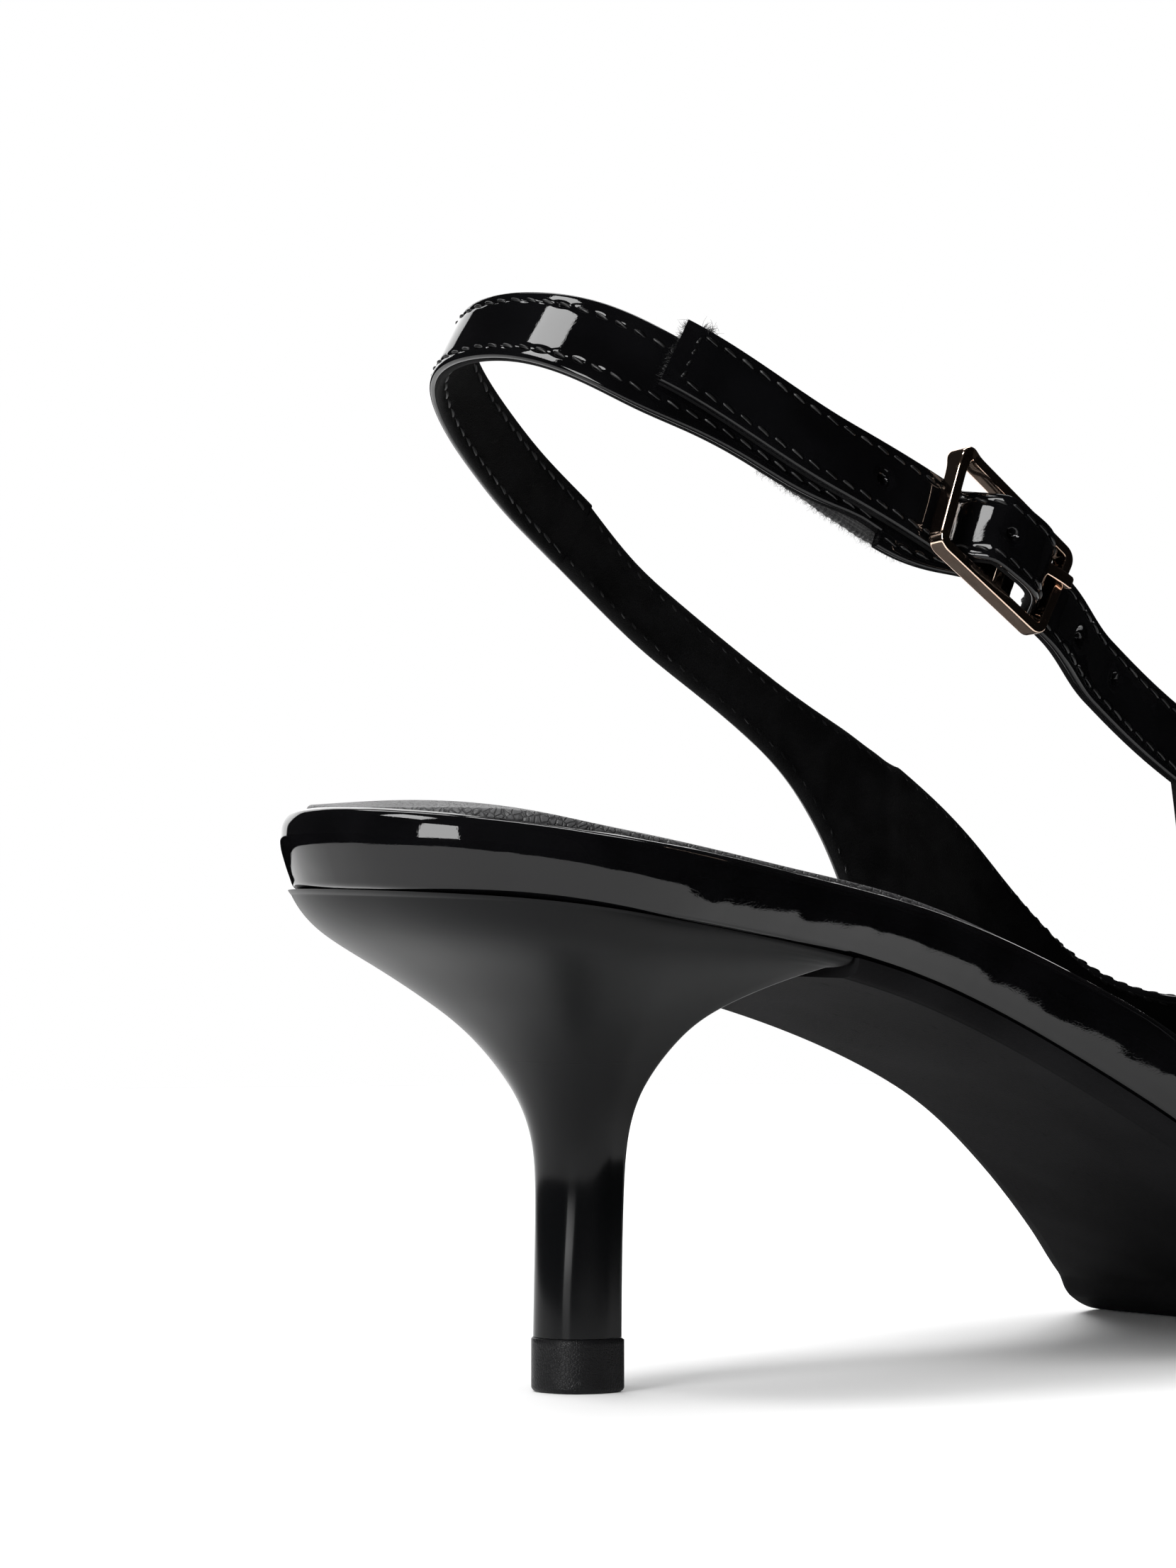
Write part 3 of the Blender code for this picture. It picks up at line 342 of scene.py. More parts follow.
def sole_top(x, y):
    """Height of the last's underside: spline rise, flat tread, toe spring by a square, arch lift."""
    u = x / LENGTH
    s = u - BALL_SKEW * y / LENGTH * ease((u - 0.25) / 0.35)
    rows = np.array(RISE)
    rise = (SEAT_HEIGHT - TREAD) * spline(np.clip(s, 0, FLAT_FROM), rows[:, 0], rows[:, 1], None, 0)
    inner = 0.5 + y / SEAT_WIDTH
    lift = ARCH_LIFT * inner * ease((u - 0.24) / 0.20) * (1 - ease((u - 0.44) / 0.19))
    toe = TOE_SPRING * (np.clip(s - FLAT_TO, 0, 1) / (1 - FLAT_TO)) ** 2
    return TREAD + np.where(s < FLAT_FROM, rise, 0) + lift + toe


def sole_thick(x, y):
    """Outsole thickness: thin waist, then an eased step to the tread."""
    s = x / LENGTH - BALL_SKEW * y / LENGTH
    return WAIST_SOLE + (TREAD - WAIST_SOLE) * ease((s - STEP_AT) / STEP_RUN)


def edge_height(x):
    """Height of the insole's edge: a spline over the table, eased to the board's own."""
    rows = np.array(EDGE)
    u = x / LENGTH
    edge = EDGE_HEIGHT * spline(np.clip(u, 0, 0.56), rows[:, 0], rows[:, 1])
    return edge + (FOREPART_BOARD - edge) * ease((u - 0.47) / 0.16)


def outline(u, grow):
    """Plan ring heel, outer side, toe, inner side: half widths moved out along the plan normal."""
    u = np.concatenate([u, u[-2::-1]])
    side = np.where(np.arange(len(u)) < (len(u) + 1) // 2, -1, 1)
    grow = np.broadcast_to(grow, (len(u) + 1) // 2)
    grow = np.concatenate([grow, grow[-2::-1]])
    tip = 1.7 * grow[len(u) // 2] * np.clip((u - 0.75) / 0.25, 0, 1) ** 2
    p = np.stack([u * LENGTH + tip, middle(u) + side * half_width(u, side)], -1)
    closed = u[0] == 0
    loop = np.concatenate([p[-2:-1], p, p[1:2]]) if closed else p
    t = np.gradient(loop, axis=0)
    t = unit(t[1:-1] if closed else t)
    move = np.where(u < 0.95, grow, grow * (1 - u) / 0.05)
    return p + np.stack([t[:, 1], -t[:, 0]], -1) * move[:, None]


def stations(start):
    """Shares of the length, closer together at both ends by a cosine, with the quarter's step."""
    u = (1 - np.cos(np.linspace(0, np.pi, COLUMNS))) / 2
    step = np.linspace(QUARTER_AT - 0.0045, QUARTER_AT - 0.0005, 7)
    return np.unique(np.concatenate([[start], u[u > start + 0.0004], step]))


def board_grow(u):
    """The insole steps in where the upper wraps round it."""
    step = (WALL + BOARD_ROOM - PROUD) * ease((u - (QUARTER_AT - 0.004)) / 0.003)
    return -step - WALL * ease((u - 0.8) / 0.2)


def board_low(x, y):
    """The insole's underside."""
    return sole_top(x, y) + CLEAR


def board_high(x, y):
    """The insole's top inside its rim."""
    return board_low(x, y) + edge_height(x) - DISH


def sock_low(x, y):
    """The sock's underside."""
    return board_high(x, y) + CLEAR


def sock_high(x, y):
    """The sock's top: a parabola across the seat, eased in and out along it."""
    across = np.clip(1 - (y / (0.5 * SEAT_WIDTH)) ** 2, 0, 1)
    along = ease(x / (0.06 * LENGTH)) * (1 - ease((x / LENGTH - 0.22) / 0.22))
    return sock_low(x, y) + SOCK_THICK + SOCK_DOME * across * along


def loop_points():
    """The straps' line from the inner quarter round the back to the outer quarter."""
    rows = np.array(LOOP) * (LENGTH, SLING_HALF, SLING_HEIGHT)
    outer = rows[1:] * (1, -1, 1)
    at = outer[:, 0] / LENGTH
    outer[:, 2] -= OUTER_SAG * ease((at - 0.11) / 0.05) * (1 - ease((at - 0.23) / 0.07))
    return np.concatenate([rows[::-1], outer])


LINE = curve(np.linspace(0, 1, 2401), loop_points())
RUN = np.concatenate([[0], np.cumsum(np.linalg.norm(np.diff(LINE, axis=0), axis=1))])


def run_at(station, side):
    """Distance along the straps' line at a station, on one side of the shoe."""
    half = len(LINE) // 2
    part = slice(0, half) if side > 0 else slice(half, None)
    x, run = LINE[part, 0], RUN[part]
    order = np.argsort(x)
    return float(np.interp(station, x[order], run[order]))


def frame_on(s):
    """Point, direction, width direction and outward normal on the straps' line."""
    p = np.stack([np.interp(s, RUN, c) for c in LINE.T], -1)
    step = 0.0008
    ahead = np.stack([np.interp(s + step, RUN, c) for c in LINE.T], -1)
    behind = np.stack([np.interp(s - step, RUN, c) for c in LINE.T], -1)
    t = unit(ahead - behind)
    tilt = np.radians(STRAP_TILT)
    up = np.stack(np.broadcast_arrays(np.sin(tilt), -0.12 * p[..., 1] / SLING_HALF, np.cos(tilt)), -1)
    w = unit(up - (up * t).sum(-1)[..., None] * t)
    return p, t, w, np.cross(t, w)


BUCKLE_RUN = run_at(BUCKLE_AT, -1)


def by_buckle(s, rows):
    """Splines over a table's columns by the distance from the buckle, held at its ends."""
    at, *columns = rows.T
    q = np.clip(s - BUCKLE_RUN, at[0], at[-1])
    return [spline(q, at, column, 0, 0) for column in columns]


def sling_lay(s):
    """The sling's drop below the line and its width."""
    return by_buckle(s, np.array(SLING_LAY) / 1000)


def rise_on(s, table):
    """Rise over the buckle's bars, from a table in thicknesses of the frame."""
    return by_buckle(s, np.array(table) * FRAME_DEPTH)[0]


def over_sling(s):
    """The buckle strap lies on the sling behind the buckle and eases down in front of it."""
    return (STRAP_THICK + LAP) * (1 - ease((s - BUCKLE_RUN - DESCENT_FROM) / DESCENT_RUN))


def grid_faces(rows, cols, base=0, closed=False):
    """Quads of a grid of rows times cols vertices; closed joins the last column to the first."""
    wide = cols if closed else cols - 1
    i, j = np.meshgrid(np.arange(rows - 1), np.arange(wide), indexing="ij")
    k = (j + 1) % cols
    return np.stack([base + i * cols + j, base + i * cols + k,
                     base + (i + 1) * cols + k, base + (i + 1) * cols + j], -1).reshape(-1, 4)


def linked(name, data):
    """A new object that holds the data, in the scene."""
    thing = bpy.data.objects.new(name, data)
    bpy.context.scene.collection.objects.link(thing)
    return thing


def make(name, verts, faces, materials, slots=None, extra=(), weld=2e-6):
    """Put arrays of vertices and quads in a closed mesh, weld it and turn its faces outwards."""
    mesh = bpy.data.meshes.new(name)
    verts = np.asarray(verts, np.float64).reshape(-1, 3) - (HEEL_AT, 0, 0)
    every = [list(map(int, dict.fromkeys(f))) for f in extra]
    mesh.from_pydata(verts.tolist(), [], np.asarray(faces).tolist() + every)
    for material in materials:
        mesh.materials.append(material)
    if slots is not None:
        slots = np.concatenate([slots, np.zeros(len(every), int)]).astype(np.int32)
        mesh.polygons.foreach_set("material_index", slots)
    bm = bmesh.new()
    bm.from_mesh(mesh)
    bmesh.ops.remove_doubles(bm, verts=bm.verts, dist=weld)
    bmesh.ops.dissolve_degenerate(bm, edges=bm.edges, dist=1e-7)
    bmesh.ops.recalc_face_normals(bm, faces=bm.faces)
    if bm.calc_volume(signed=True) < 0:
        bmesh.ops.reverse_faces(bm, faces=bm.faces)
    bm.to_mesh(mesh)
    bm.free()
    mesh.shade_smooth()
    mesh.set_sharp_from_angle(angle=SHARP)
    return linked(name, mesh)


def end_caps(rows, cols):
    """The first and the last ring of a closed grid, as one face each."""
    return [np.arange(cols)[::-1], (rows - 1) * cols + np.arange(cols)]


def place(piece, slot, *nodes):
    """The piece rides on the shoe and stands for the nodes named; slot is not used."""
    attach(piece, "root")
    if nodes:
        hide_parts(*nodes)
    return piece


def slab(name, rings, low, high, columns, materials):
    """Closed slab: rings of (plan outline, heights) up its side, ruled faces under and over."""
    count = len(rings[0][0])
    half = count // 2
    wall = np.stack([np.column_stack([p, z]) for p, z in rings])
    verts = [wall.reshape(-1, 3)]
    faces = [grid_faces(len(rings), count)]
    across = np.linspace(0, 1, columns + 1)[None, :, None]
    extra, ends = [], []
    for (plan, _), height in ((rings[0], low), (rings[-1], high)):
        left, right = plan[:half, None], plan[:half:-1, None]
        xy = left + (right - left) * across
        rows = np.concatenate([xy.reshape(-1, 2), plan[half : half + 1]])
        base = sum(len(v) for v in verts)
        verts.append(np.column_stack([rows, height(rows[:, 0], rows[:, 1])]))
        faces.append(grid_faces(half, columns + 1, base))
        tip, last = base + half * (columns + 1), base + (half - 1) * (columns + 1)
        extra += [(last + j, last + j + 1, tip) for j in range(columns)]
        ends.append([base + j for j in range(columns + 1)])
    if np.linalg.norm(rings[0][0][0] - rings[0][0][-1]) > 1e-5:
        rise = [k * count for k in range(1, len(rings) - 1)]
        fall = [k * count + count - 1 for k in range(len(rings) - 2, 0, -1)]
        extra.append(ends[0][::-1] + rise + ends[1] + fall)
    return make(name, np.concatenate(verts), np.concatenate(faces), materials, None, extra)


def strap_profile(width, thick, edge, seam, crown):
    """Cross-section of a two-layer strap, as a closed ring of (across, out, seam mask, lining).

    Rounded sides by quarter circles, a fine groove between the layers at each side, and the
    patent face crowned by a parabola.
    """
    half, t = width / 2, thick / 2
    face = np.linspace(-1, 1, 71) * (half - edge)
    outer = np.column_stack([face, t + crown * (1 - (face / half) ** 2)])
    a = np.linspace(0, np.pi / 2, 7)[1:]
    right = np.column_stack([half - edge + edge * np.sin(a), t - edge + edge * np.cos(a)])
    right[:, 1] += crown * (1 - ((half - edge) / half) ** 2) * np.cos(a)
    notch = (half - 0.2 * seam, 0.10 * t), (half - seam, 0.0), (half - 0.3 * seam, -0.10 * t)
    turn = a - a[0]
    low = np.column_stack([half - edge + edge * np.cos(turn), -t + edge - edge * np.sin(turn)])
    inner = np.linspace(1, -1, 25)[:, None] * (half - edge) * (1, 0) - (0, t)
    side = np.concatenate([right, notch, low])
    ring = np.concatenate([outer, side, inner, (side * (-1, 1))[::-1]])
    lining = ring[:, 1] < 0.02 * t
    return ring, lining


def stitch_dip(s, across, lines, pitch):
    """Depth that the thread pulls the leather in: a Gaussian across each line, waved along it."""
    dip = np.zeros(np.broadcast(s, across).shape)
    for at in lines:
        along = 0.62 + 0.38 * np.cos(2 * np.pi * s / pitch)
        dip += THREAD_DIP * np.exp(-((across - at) / THREAD_DIP_REACH) ** 2) * along
    return dip


def sling_at(s):
    """Point, width direction and outward normal of the sling strap."""
    p, _, w, n = frame_on(s)
    return p - w * sling_lay(s)[0][..., None], w, n


def buckle_strap_at(s):
    """Point, width direction and outward normal of the strap through the buckle."""
    start = run_at(TAIL_END, -1)

    def centre(q):
        p, _, w, n = frame_on(q)
        up = TAIL_LIFT * (1 - ease((q - start) / TAIL_LIFT_RUN))
        return p + w * up[..., None] + n * (over_sling(q) + rise_on(q, BUMP))[..., None], w

    p, w = centre(s)
    step = 0.00025
    along = unit(centre(s + step)[0] - centre(s - step)[0])
    return p, w, unit(np.cross(along, w))


def tab_at(s):
    """Point, width direction and outward normal of the buckle's tab."""
    p, _, w, n = frame_on(s)
    begin = BUCKLE_RUN + TAB[0][0] * FRAME_DEPTH
    reach = (TAB[-1][0] - TAB[0][0]) * FRAME_DEPTH
    lay = TAB_DROP * (1 - ease((s - begin) / reach))
    return p - w * lay[..., None] + n * rise_on(s, TAB)[..., None], w, n


def strap(name, node, s, at, sewn, width=STRAP_WIDTH, thick=STRAP_THICK, holes=(), edge=0.0005,
          wider=None, both=True):
    """Strap: a two-layer profile carried along at(s), pulled in at its threads and holes.

    wider adds to the width at each row: every point moves out by the same share of it. Its two
    stitch lines run along sewn, on both faces or on the patent one alone.
    """
    stitch = looks()[1]
    line = width / 2 - stitch.inset
    ring, inner = strap_profile(width, thick, edge, GROOVE, CROWN)
    p, w, n = at(s)
    across = np.broadcast_to(ring[:, 0], (len(s), len(ring)))
    if wider is not None:
        across = across + np.clip(across / (width / 2 - edge), -1, 1) * wider[:, None] / 2
    height = np.broadcast_to(ring[:, 1], across.shape).copy()
    along = s[:, None]
    face = ~inner
    dip = stitch_dip(along, across, (-line, line), stitch.pitch)
    height = height - np.where(face, dip, -0.35 * dip)
    for place_at, side in holes:
        ahead, aside = along - place_at, across - side
        r = np.hypot(ahead, aside) / HOLE_RADIUS
        pucker = 1 + 0.8 * np.sin(np.arctan2(ahead, aside) + place_at / 0.004)
        rim = HOLE_RIM * pucker * np.exp(-((r - 1.3) / 0.55) ** 2)
        height = height + np.where(face, -HOLE_DEPTH * (1 - ease((r - 0.50) / 0.60)) - rim, 0)
    verts = p[:, None] + w[:, None] * across[..., None] + n[:, None] * height[..., None]
    rows, cols = across.shape
    faces = grid_faces(rows, cols, 0, True)
    slots = np.tile((inner & np.roll(inner, -1)).astype(int), rows - 1)
    materials = [patent(), lining()]
    piece = make(name + "_leather", verts, faces, materials, slots, end_caps(rows, cols))
    place(piece, "patent_leather", node)
    stitches(name + "_stitches", strap_runs(at, sewn, width, thick, stitch.inset, both))


def thread_run(points, normals, pitch, radius):
    """Stitches along a line of surface points: one capsule for each pitch, arched out of its holes.

    Capsule radius r(f) = radius (1 - |2f - 1|^5)^0.5 and height sin(pi f), f along the stitch.
    """
    seg = np.linalg.norm(np.diff(points, axis=0), axis=1)
    run = np.concatenate([[0], np.cumsum(seg)])
    count = int(run[-1] / pitch)
    if count < 1:
        return np.zeros((0, 3)), np.zeros((0, 4), int)
    f = np.linspace(0, 1, 9)
    where = (np.arange(count)[:, None] + STITCH_GAP / 2 + (1 - STITCH_GAP) * f[None]) * pitch
    where = np.clip(where, 0, run[-1])

    def on(values, q):
        return np.stack([np.interp(q, run, c) for c in values.T], -1)

    p, n = on(points, where), unit(on(normals, where))
    t = unit(on(points, where + 0.0002) - on(points, where - 0.0002))
    side = unit(np.cross(t, n))
    lift = radius * (0.75 * np.sin(np.pi * f) - 0.55)
    slant = 0.00016 * (f - 0.5) * 2
    centre = p + n * lift[None, :, None] + side * slant[None, :, None]
    r = radius * np.sqrt(np.clip(1 - np.abs(2 * f - 1) ** 5, 0.02, 1))
    a = np.linspace(0, 2 * np.pi, 9)[:-1]
    ring = np.cos(a)[:, None] * side[:, :, None] + np.sin(a)[:, None] * n[:, :, None]
    verts = centre[:, :, None] + r[None, :, None, None] * ring
    faces = np.concatenate([grid_faces(9, 8, k * 72, True) for k in range(count)])
    return verts.reshape(-1, 3), faces


def threads_piece(name, runs, materials, pitch, radius):
    """All the stitches of one piece, as one mesh."""
    verts, faces, base = [], [], 0
    for points, normals in runs:
        v, f = thread_run(np.asarray(points), np.asarray(normals), pitch, radius)
        verts.append(v)
        faces.append(f + base)
        base += len(v)
    verts, faces = np.concatenate(verts), np.concatenate(faces)
    caps = np.arange(0, len(verts), 72)[:, None] + np.arange(8)[::-1]
    tails = np.arange(64, len(verts), 72)[:, None] + np.arange(8)
    return make(name, verts, faces, materials, None, list(caps) + list(tails), weld=1e-9)


def stitches(name, runs, pitch=None):
    """All the stitches of one piece in the set thread, placed on the shoe."""
    stitch = looks()[1]
    place(threads_piece(name, runs, [thread()], pitch or stitch.pitch, stitch.radius),
          "patent_leather")


def strap_runs(at, s, width, thick, inset, both):
    """Lines of surface points for the stitches on a strap's patent face, or on both faces."""
    p, w, n = at(s)
    runs = []
    for side in (-1, 1):
        edge = p + w * side * (width / 2 - inset)
        runs.append((edge + n * thick / 2, n))
        if both:
            runs.append((edge - n * thick / 2, -n))
    return runs


def side_lines(side, end, wing_count, front_count):
    """Lower and upper ends of the upper's lines on one side, with their leaving directions."""
    p, _, w, n = (v[0] for v in frame_on(np.array([run_at(end * LENGTH, side)])))
    first_low = p - w * STRAP_WIDTH / 2 + n * STRAP_THICK / 2
    first_top = p + w * STRAP_WIDTH / 2 + n * STRAP_THICK / 2
    rows = np.array([r for r in WING if r[0] > end + 0.006])
    x_low, x_top = rows[:, 0] * LENGTH, rows[:, 2] * LENGTH
    foot = half_width(rows[:, 0], side) + PROUD
    y_low = foot + (top_half(x_low) - foot) * rows[:, 4]
    low = np.stack([x_low, side * y_low, rows[:, 1] * SLING_HEIGHT], -1)
    top = np.stack([x_top, side * top_half(x_top), rows[:, 3] * SLING_HEIGHT], -1)
    corner_x = QUARTER_AT * LENGTH
    corner_y = side * (half_width(np.array(QUARTER_AT), side) + PROUD)
    corner = np.array([corner_x, corner_y, sole_top(corner_x, corner_y) + FOOT_GAP])
    line = np.array(TOPLINE) * (LENGTH, SLING_HALF, SLING_HEIGHT) * (1, side, 1)
    line = np.concatenate([line, [[THROAT_AT, 0, THROAT_HEIGHT]], [line[-1] * (1, -1, 1)]])
    chords = np.concatenate([[0], np.cumsum(np.linalg.norm(np.diff(line, axis=0), axis=1))])
    stop = chords[-2] / chords[-1]
    wing_low = np.concatenate([[first_low], low, [corner]])
    wing_top = np.concatenate([[first_top], top, [line[0]]])
    q = np.linspace(0, 1, wing_count)
    at = np.linspace(0, 1, len(wing_low))
    low_w = np.stack([spline(q, at, c) for c in wing_low.T], -1)
    top_w = np.stack([spline(q, at, c) for c in wing_top.T], -1)
    f = np.linspace(0, 1, front_count)
    u = QUARTER_AT + (1 - QUARTER_AT) * np.sin(f * np.pi / 2)
    grown = outline(u, PROUD)
    ring = grown[:front_count] if side < 0 else grown[: front_count - 2 : -1]
    low_f = np.column_stack([ring, sole_top(ring[:, 0], ring[:, 1]) + FOOT_GAP])
    top_f = curve(f * stop, line)
    low_all = np.concatenate([low_w, low_f[1:]])
    top_all = np.concatenate([top_w, top_f[1:]])
    chord = top_all - low_all
    size = np.linalg.norm(chord, axis=1)[:, None]
    out = np.gradient(ring, axis=0)
    out = np.stack([out[:, 1], -out[:, 0]], -1) * -side / np.linalg.norm(out, axis=1)[:, None]
    out[-1] = (1, 0)
    up_f = 0.88 - 0.30 * ease((f - 0.35) / 0.65)
    rise_f = np.column_stack([0.16 * out, up_f])
    blend = np.concatenate([np.zeros(wing_count), ease(f[1:] / 0.25)])[:, None]
    rise = np.concatenate([np.zeros((wing_count, 3)), rise_f[1:]])
    leave = chord * (1 - blend) + size * rise * blend
    return low_all, top_all, leave, chord


def top_half(x):
    """Half width between the top edges of the quarters at a station, for the wings."""
    rows = np.array(LOOP)[4:-1]
    more = np.array([(0.440, 0.975, 0), (0.476, 1.008, 0), (0.500, 1.028, 0)])
    rows = np.concatenate([rows, more])
    return SLING_HALF * spline(x / LENGTH, rows[:, 0], rows[:, 1]) + STRAP_THICK / 2


OUTER_ROWS, INNER_ROWS, FRONT_ROWS = 61, 121, 161


def upper_face(v):
    """Outer face of the upper: Hermite lines from the feather edge to the topline at each row.

    v is one row of parameters, or one for each line; returns points and outward normals.
    """
    sides = []
    for side, end, count in ((-1, OUTER_WING_END, OUTER_ROWS), (1, INNER_WING_END, INNER_ROWS)):
        sides.append(side_lines(side, end, count, FRONT_ROWS))
    outer, inner = sides
    low, top, leave, arrive = (
        np.concatenate([a, b[-2::-1]])[:, None] for a, b in zip(outer, inner))
    v = np.broadcast_to(v, (len(low), np.shape(v)[-1]))[..., None]
    face = (
        (1 + 2 * v) * (1 - v) ** 2 * low
        + v * (1 - v) ** 2 * leave
        + v * v * (3 - 2 * v) * top
        + v * v * (v - 1) * arrive
    )
    n = np.cross(np.gradient(face, axis=0), np.gradient(face, axis=1))
    return face, unit(n)


def upper_lengths():
    """Length of each of the upper's lines, from the feather edge to the topline."""
    face, _ = upper_face(np.linspace(0, 1, 60))
    return np.linalg.norm(np.diff(face, axis=1), axis=2).sum(1)


def upper_shell(name, materials, inset):
    """The upper as one closed wall with rounded rims; a groove pulls it in along its seams."""
    size = upper_lengths()[:, None]
    rows = len(size)
    wing = np.ones(rows)
    wing[OUTER_ROWS - 1 : rows - INNER_ROWS + 1] = 0
    wing = wing[:, None]
    half = WALL / 2
    cut_low, cut_top = half / size * wing, half / size
    g = np.linspace(0, 1, 49)
    g = g - 0.09 * np.sin(2 * np.pi * g) / (2 * np.pi) * 2
    v = cut_low + (1 - cut_low - cut_top) * g[None]
    face, n = upper_face(v)
    from_top = (1 - v) * size
    from_low = v * size + 0.02 * (1 - wing)
    groove = sum(np.exp(-((d - inset) / UPPER_GROOVE_REACH) ** 2) for d in (from_top, from_low))
    face = face - n * (UPPER_GROOVE * groove)[..., None]
    back = face - n * WALL
    up = unit(face[:, -1] - face[:, -2])
    down = unit(face[:, 0] - face[:, 1])
    a = np.linspace(0, np.pi, 9)[1:-1]
    mid_top = (face[:, -1] + back[:, -1]) / 2
    mid_low = (face[:, 0] + back[:, 0]) / 2
    nt, nl = n[:, -1], n[:, 0]
    c, s = np.cos(a)[:, None], np.sin(a)[:, None]
    rim = mid_top[:, None] + half * (c * nt[:, None] + s * up[:, None])
    heel = np.cos(a[::-1])[:, None] * nl[:, None] + (s * wing[:, None]) * down[:, None]
    sole_rim = mid_low[:, None] + half * heel
    foot = slice(OUTER_ROWS, rows - INNER_ROWS)
    x, y = back[foot, 0, 0], back[foot, 0, 1]
    back[foot, 0, 2] = sole_top(x, y) + FOOT_GAP
    flat = np.linspace(1, 0, len(a) + 2)[1:-1, None]
    sole_rim[foot] = face[foot, 0][:, None] * (1 - flat) + back[foot, 0][:, None] * flat
    loop = np.concatenate([face, rim, back[:, ::-1], sole_rim], axis=1)
    cols = loop.shape[1]
    faces = grid_faces(rows, cols, 0, True)
    inside = np.zeros(cols, int)
    inside[len(g) + 5 : len(g) + len(a) + len(g) + 3] = 1
    slots = np.tile(inside, rows - 1)
    return make(name, loop, faces, materials, slots, end_caps(rows, cols))


def upper_seams(inset):
    """Lines for the stitches along the topline and the quarters' rear edges, on both faces."""
    size = upper_lengths()[:, None]
    rows = len(size)
    runs = []
    for where, part in (
        (1 - inset / size, slice(0, rows)),
        (inset / size, slice(0, OUTER_ROWS - 8)),
        (inset / size, slice(rows - INNER_ROWS + 8, rows)),
    ):
        v = np.concatenate([where - 0.01, where, where + 0.01], axis=1)
        face, n = upper_face(v)
        points, normals = face[part, 1], n[part, 1]
        runs.append((points, normals))
        runs.append((points - normals * WALL, -normals))
    return runs


def heel_section(back, widest, front, width, hollow, points, across):
    """Plan of one heel section: power-curve back, straight sides, a small arc, a hollowed breast."""
    soft = BREAST_SOFT
    a = np.linspace(0, np.pi / 2, points)
    round_x = widest - (widest - back) * np.cos(a) ** (2 / HEEL_POWER)
    round_y = -width * np.sin(a) ** (2 / HEEL_POWER)
    run = np.linspace(widest, front - soft, 8)[1:-1]
    c = np.linspace(0, np.pi / 2, 7)
    side_x = np.concatenate([round_x, run, front - soft + soft * np.sin(c)])
    side_y = np.concatenate([round_y, np.full(len(run), -width), -width + soft - soft * np.cos(c)])
    y = np.linspace(-(width - soft), width - soft, across + 1)[1:-1]
    breast = np.stack([front - hollow * (1 - (y / (width - soft)) ** 2), y], -1)
    side = np.stack([side_x, side_y], -1)
    return np.concatenate([side, breast, (side * (1, -1))[:0:-1]]), len(side)


def stacked(name, rings, side, across, materials, top=None):
    """Closed body from plan rings stacked upwards, both ends ruled across from side to side."""
    rings = np.stack(rings)
    levels, count = rings.shape[:2]
    verts = [rings.reshape(-1, 3)]
    faces = [grid_faces(levels, count, 0, True)]
    share = np.linspace(0, 1, across + 1)[None, :, None]
    for ring, height in ((rings[0], None), (rings[-1], top)):
        left = ring[:side]
        right = np.concatenate([ring[:1], ring[:-side:-1]])
        rows = left[:, None] + (right[:, None] - left[:, None]) * share
        rows[-1] = ring[side - 1 : side + across]
        flat = rows.reshape(-1, 3)
        if height is not None:
            flat[:, 2] = height(flat[:, 0], flat[:, 1])
        base = sum(len(v) for v in verts)
        verts.append(flat)
        faces.append(grid_faces(side, across + 1, base))
    return make(name, np.concatenate(verts), np.concatenate(faces), materials, weld=3e-6)


def rounded_profile(rows, count):
    """More rows between the given ones: each column a spline over the row's number."""
    rows = np.array(rows)
    at = np.linspace(0, 1, len(rows))
    return np.stack([spline(np.linspace(0, 1, count), at, c) for c in rows.T], -1)


def bar_section(wide, deep, power, count=36):
    """Ring of (across, out) for a bar: |a|^p + |b|^p = 1, flat faces and soft edges."""
    a = np.linspace(0, 2 * np.pi, count + 1)[:-1]
    c, s = np.cos(a), np.sin(a)
    x = np.sign(c) * np.abs(c) ** (2 / power) * wide / 2
    y = np.sign(s) * np.abs(s) ** (2 / power) * deep / 2
    return np.column_stack([x, y])


def swept(path, across, out, section, scale, closed=False):
    """Vertices and faces of a section carried along a path; end rings shrink to close it."""
    ring = section[None] * scale[:, None, None]
    verts = path[:, None] + across[:, None] * ring[..., :1] + out[:, None] * ring[..., 1:]
    rows, cols = verts.shape[:2]
    if closed:
        verts = np.concatenate([verts, verts[:1]])
        rows += 1
    return verts.reshape(-1, 3), grid_faces(rows, cols, 0, True)


def fibres(name, roots, ways, material, slot):
    """Loose fibres: three-sided tapered hairs, bent by a square law towards a random side."""
    count, shortest, longest, radius = FIBRES[name]
    lengths = RNG.uniform(shortest, longest, count)
    f = np.linspace(0, 1, 5)
    bend = RNG.normal(0, 0.35, (count, 3))
    curl = RNG.normal(0, 0.22, (count, 3))
    way = ways[:, None] * f[None, :, None]
    way = way + bend[:, None] * (f**2)[None, :, None]
    way = way + curl[:, None] * np.sin(3.1 * f)[None, :, None]
    path = roots[:, None] + way * lengths[:, None, None]
    t = unit(np.gradient(path, axis=1))
    side = unit(np.cross(t, np.array([0.31, 0.22, 0.93])))
    other = np.cross(t, side)
    a = np.arange(3) * 2 * np.pi / 3
    ring = np.cos(a)[:, None] * side[:, :, None] + np.sin(a)[:, None] * other[:, :, None]
    verts = path[:, :, None] + ring * (radius * (1 - 0.75 * f))[None, :, None, None]
    faces = np.concatenate([grid_faces(5, 3, k * 15, True) for k in range(count)])
    starts = np.arange(count)[:, None] * 15
    caps = list(starts + np.array([2, 1, 0])) + list(starts + np.array([12, 13, 14]))
    place(make(name, verts, faces, [material], None, caps, weld=1e-9), slot)


# Shader groups


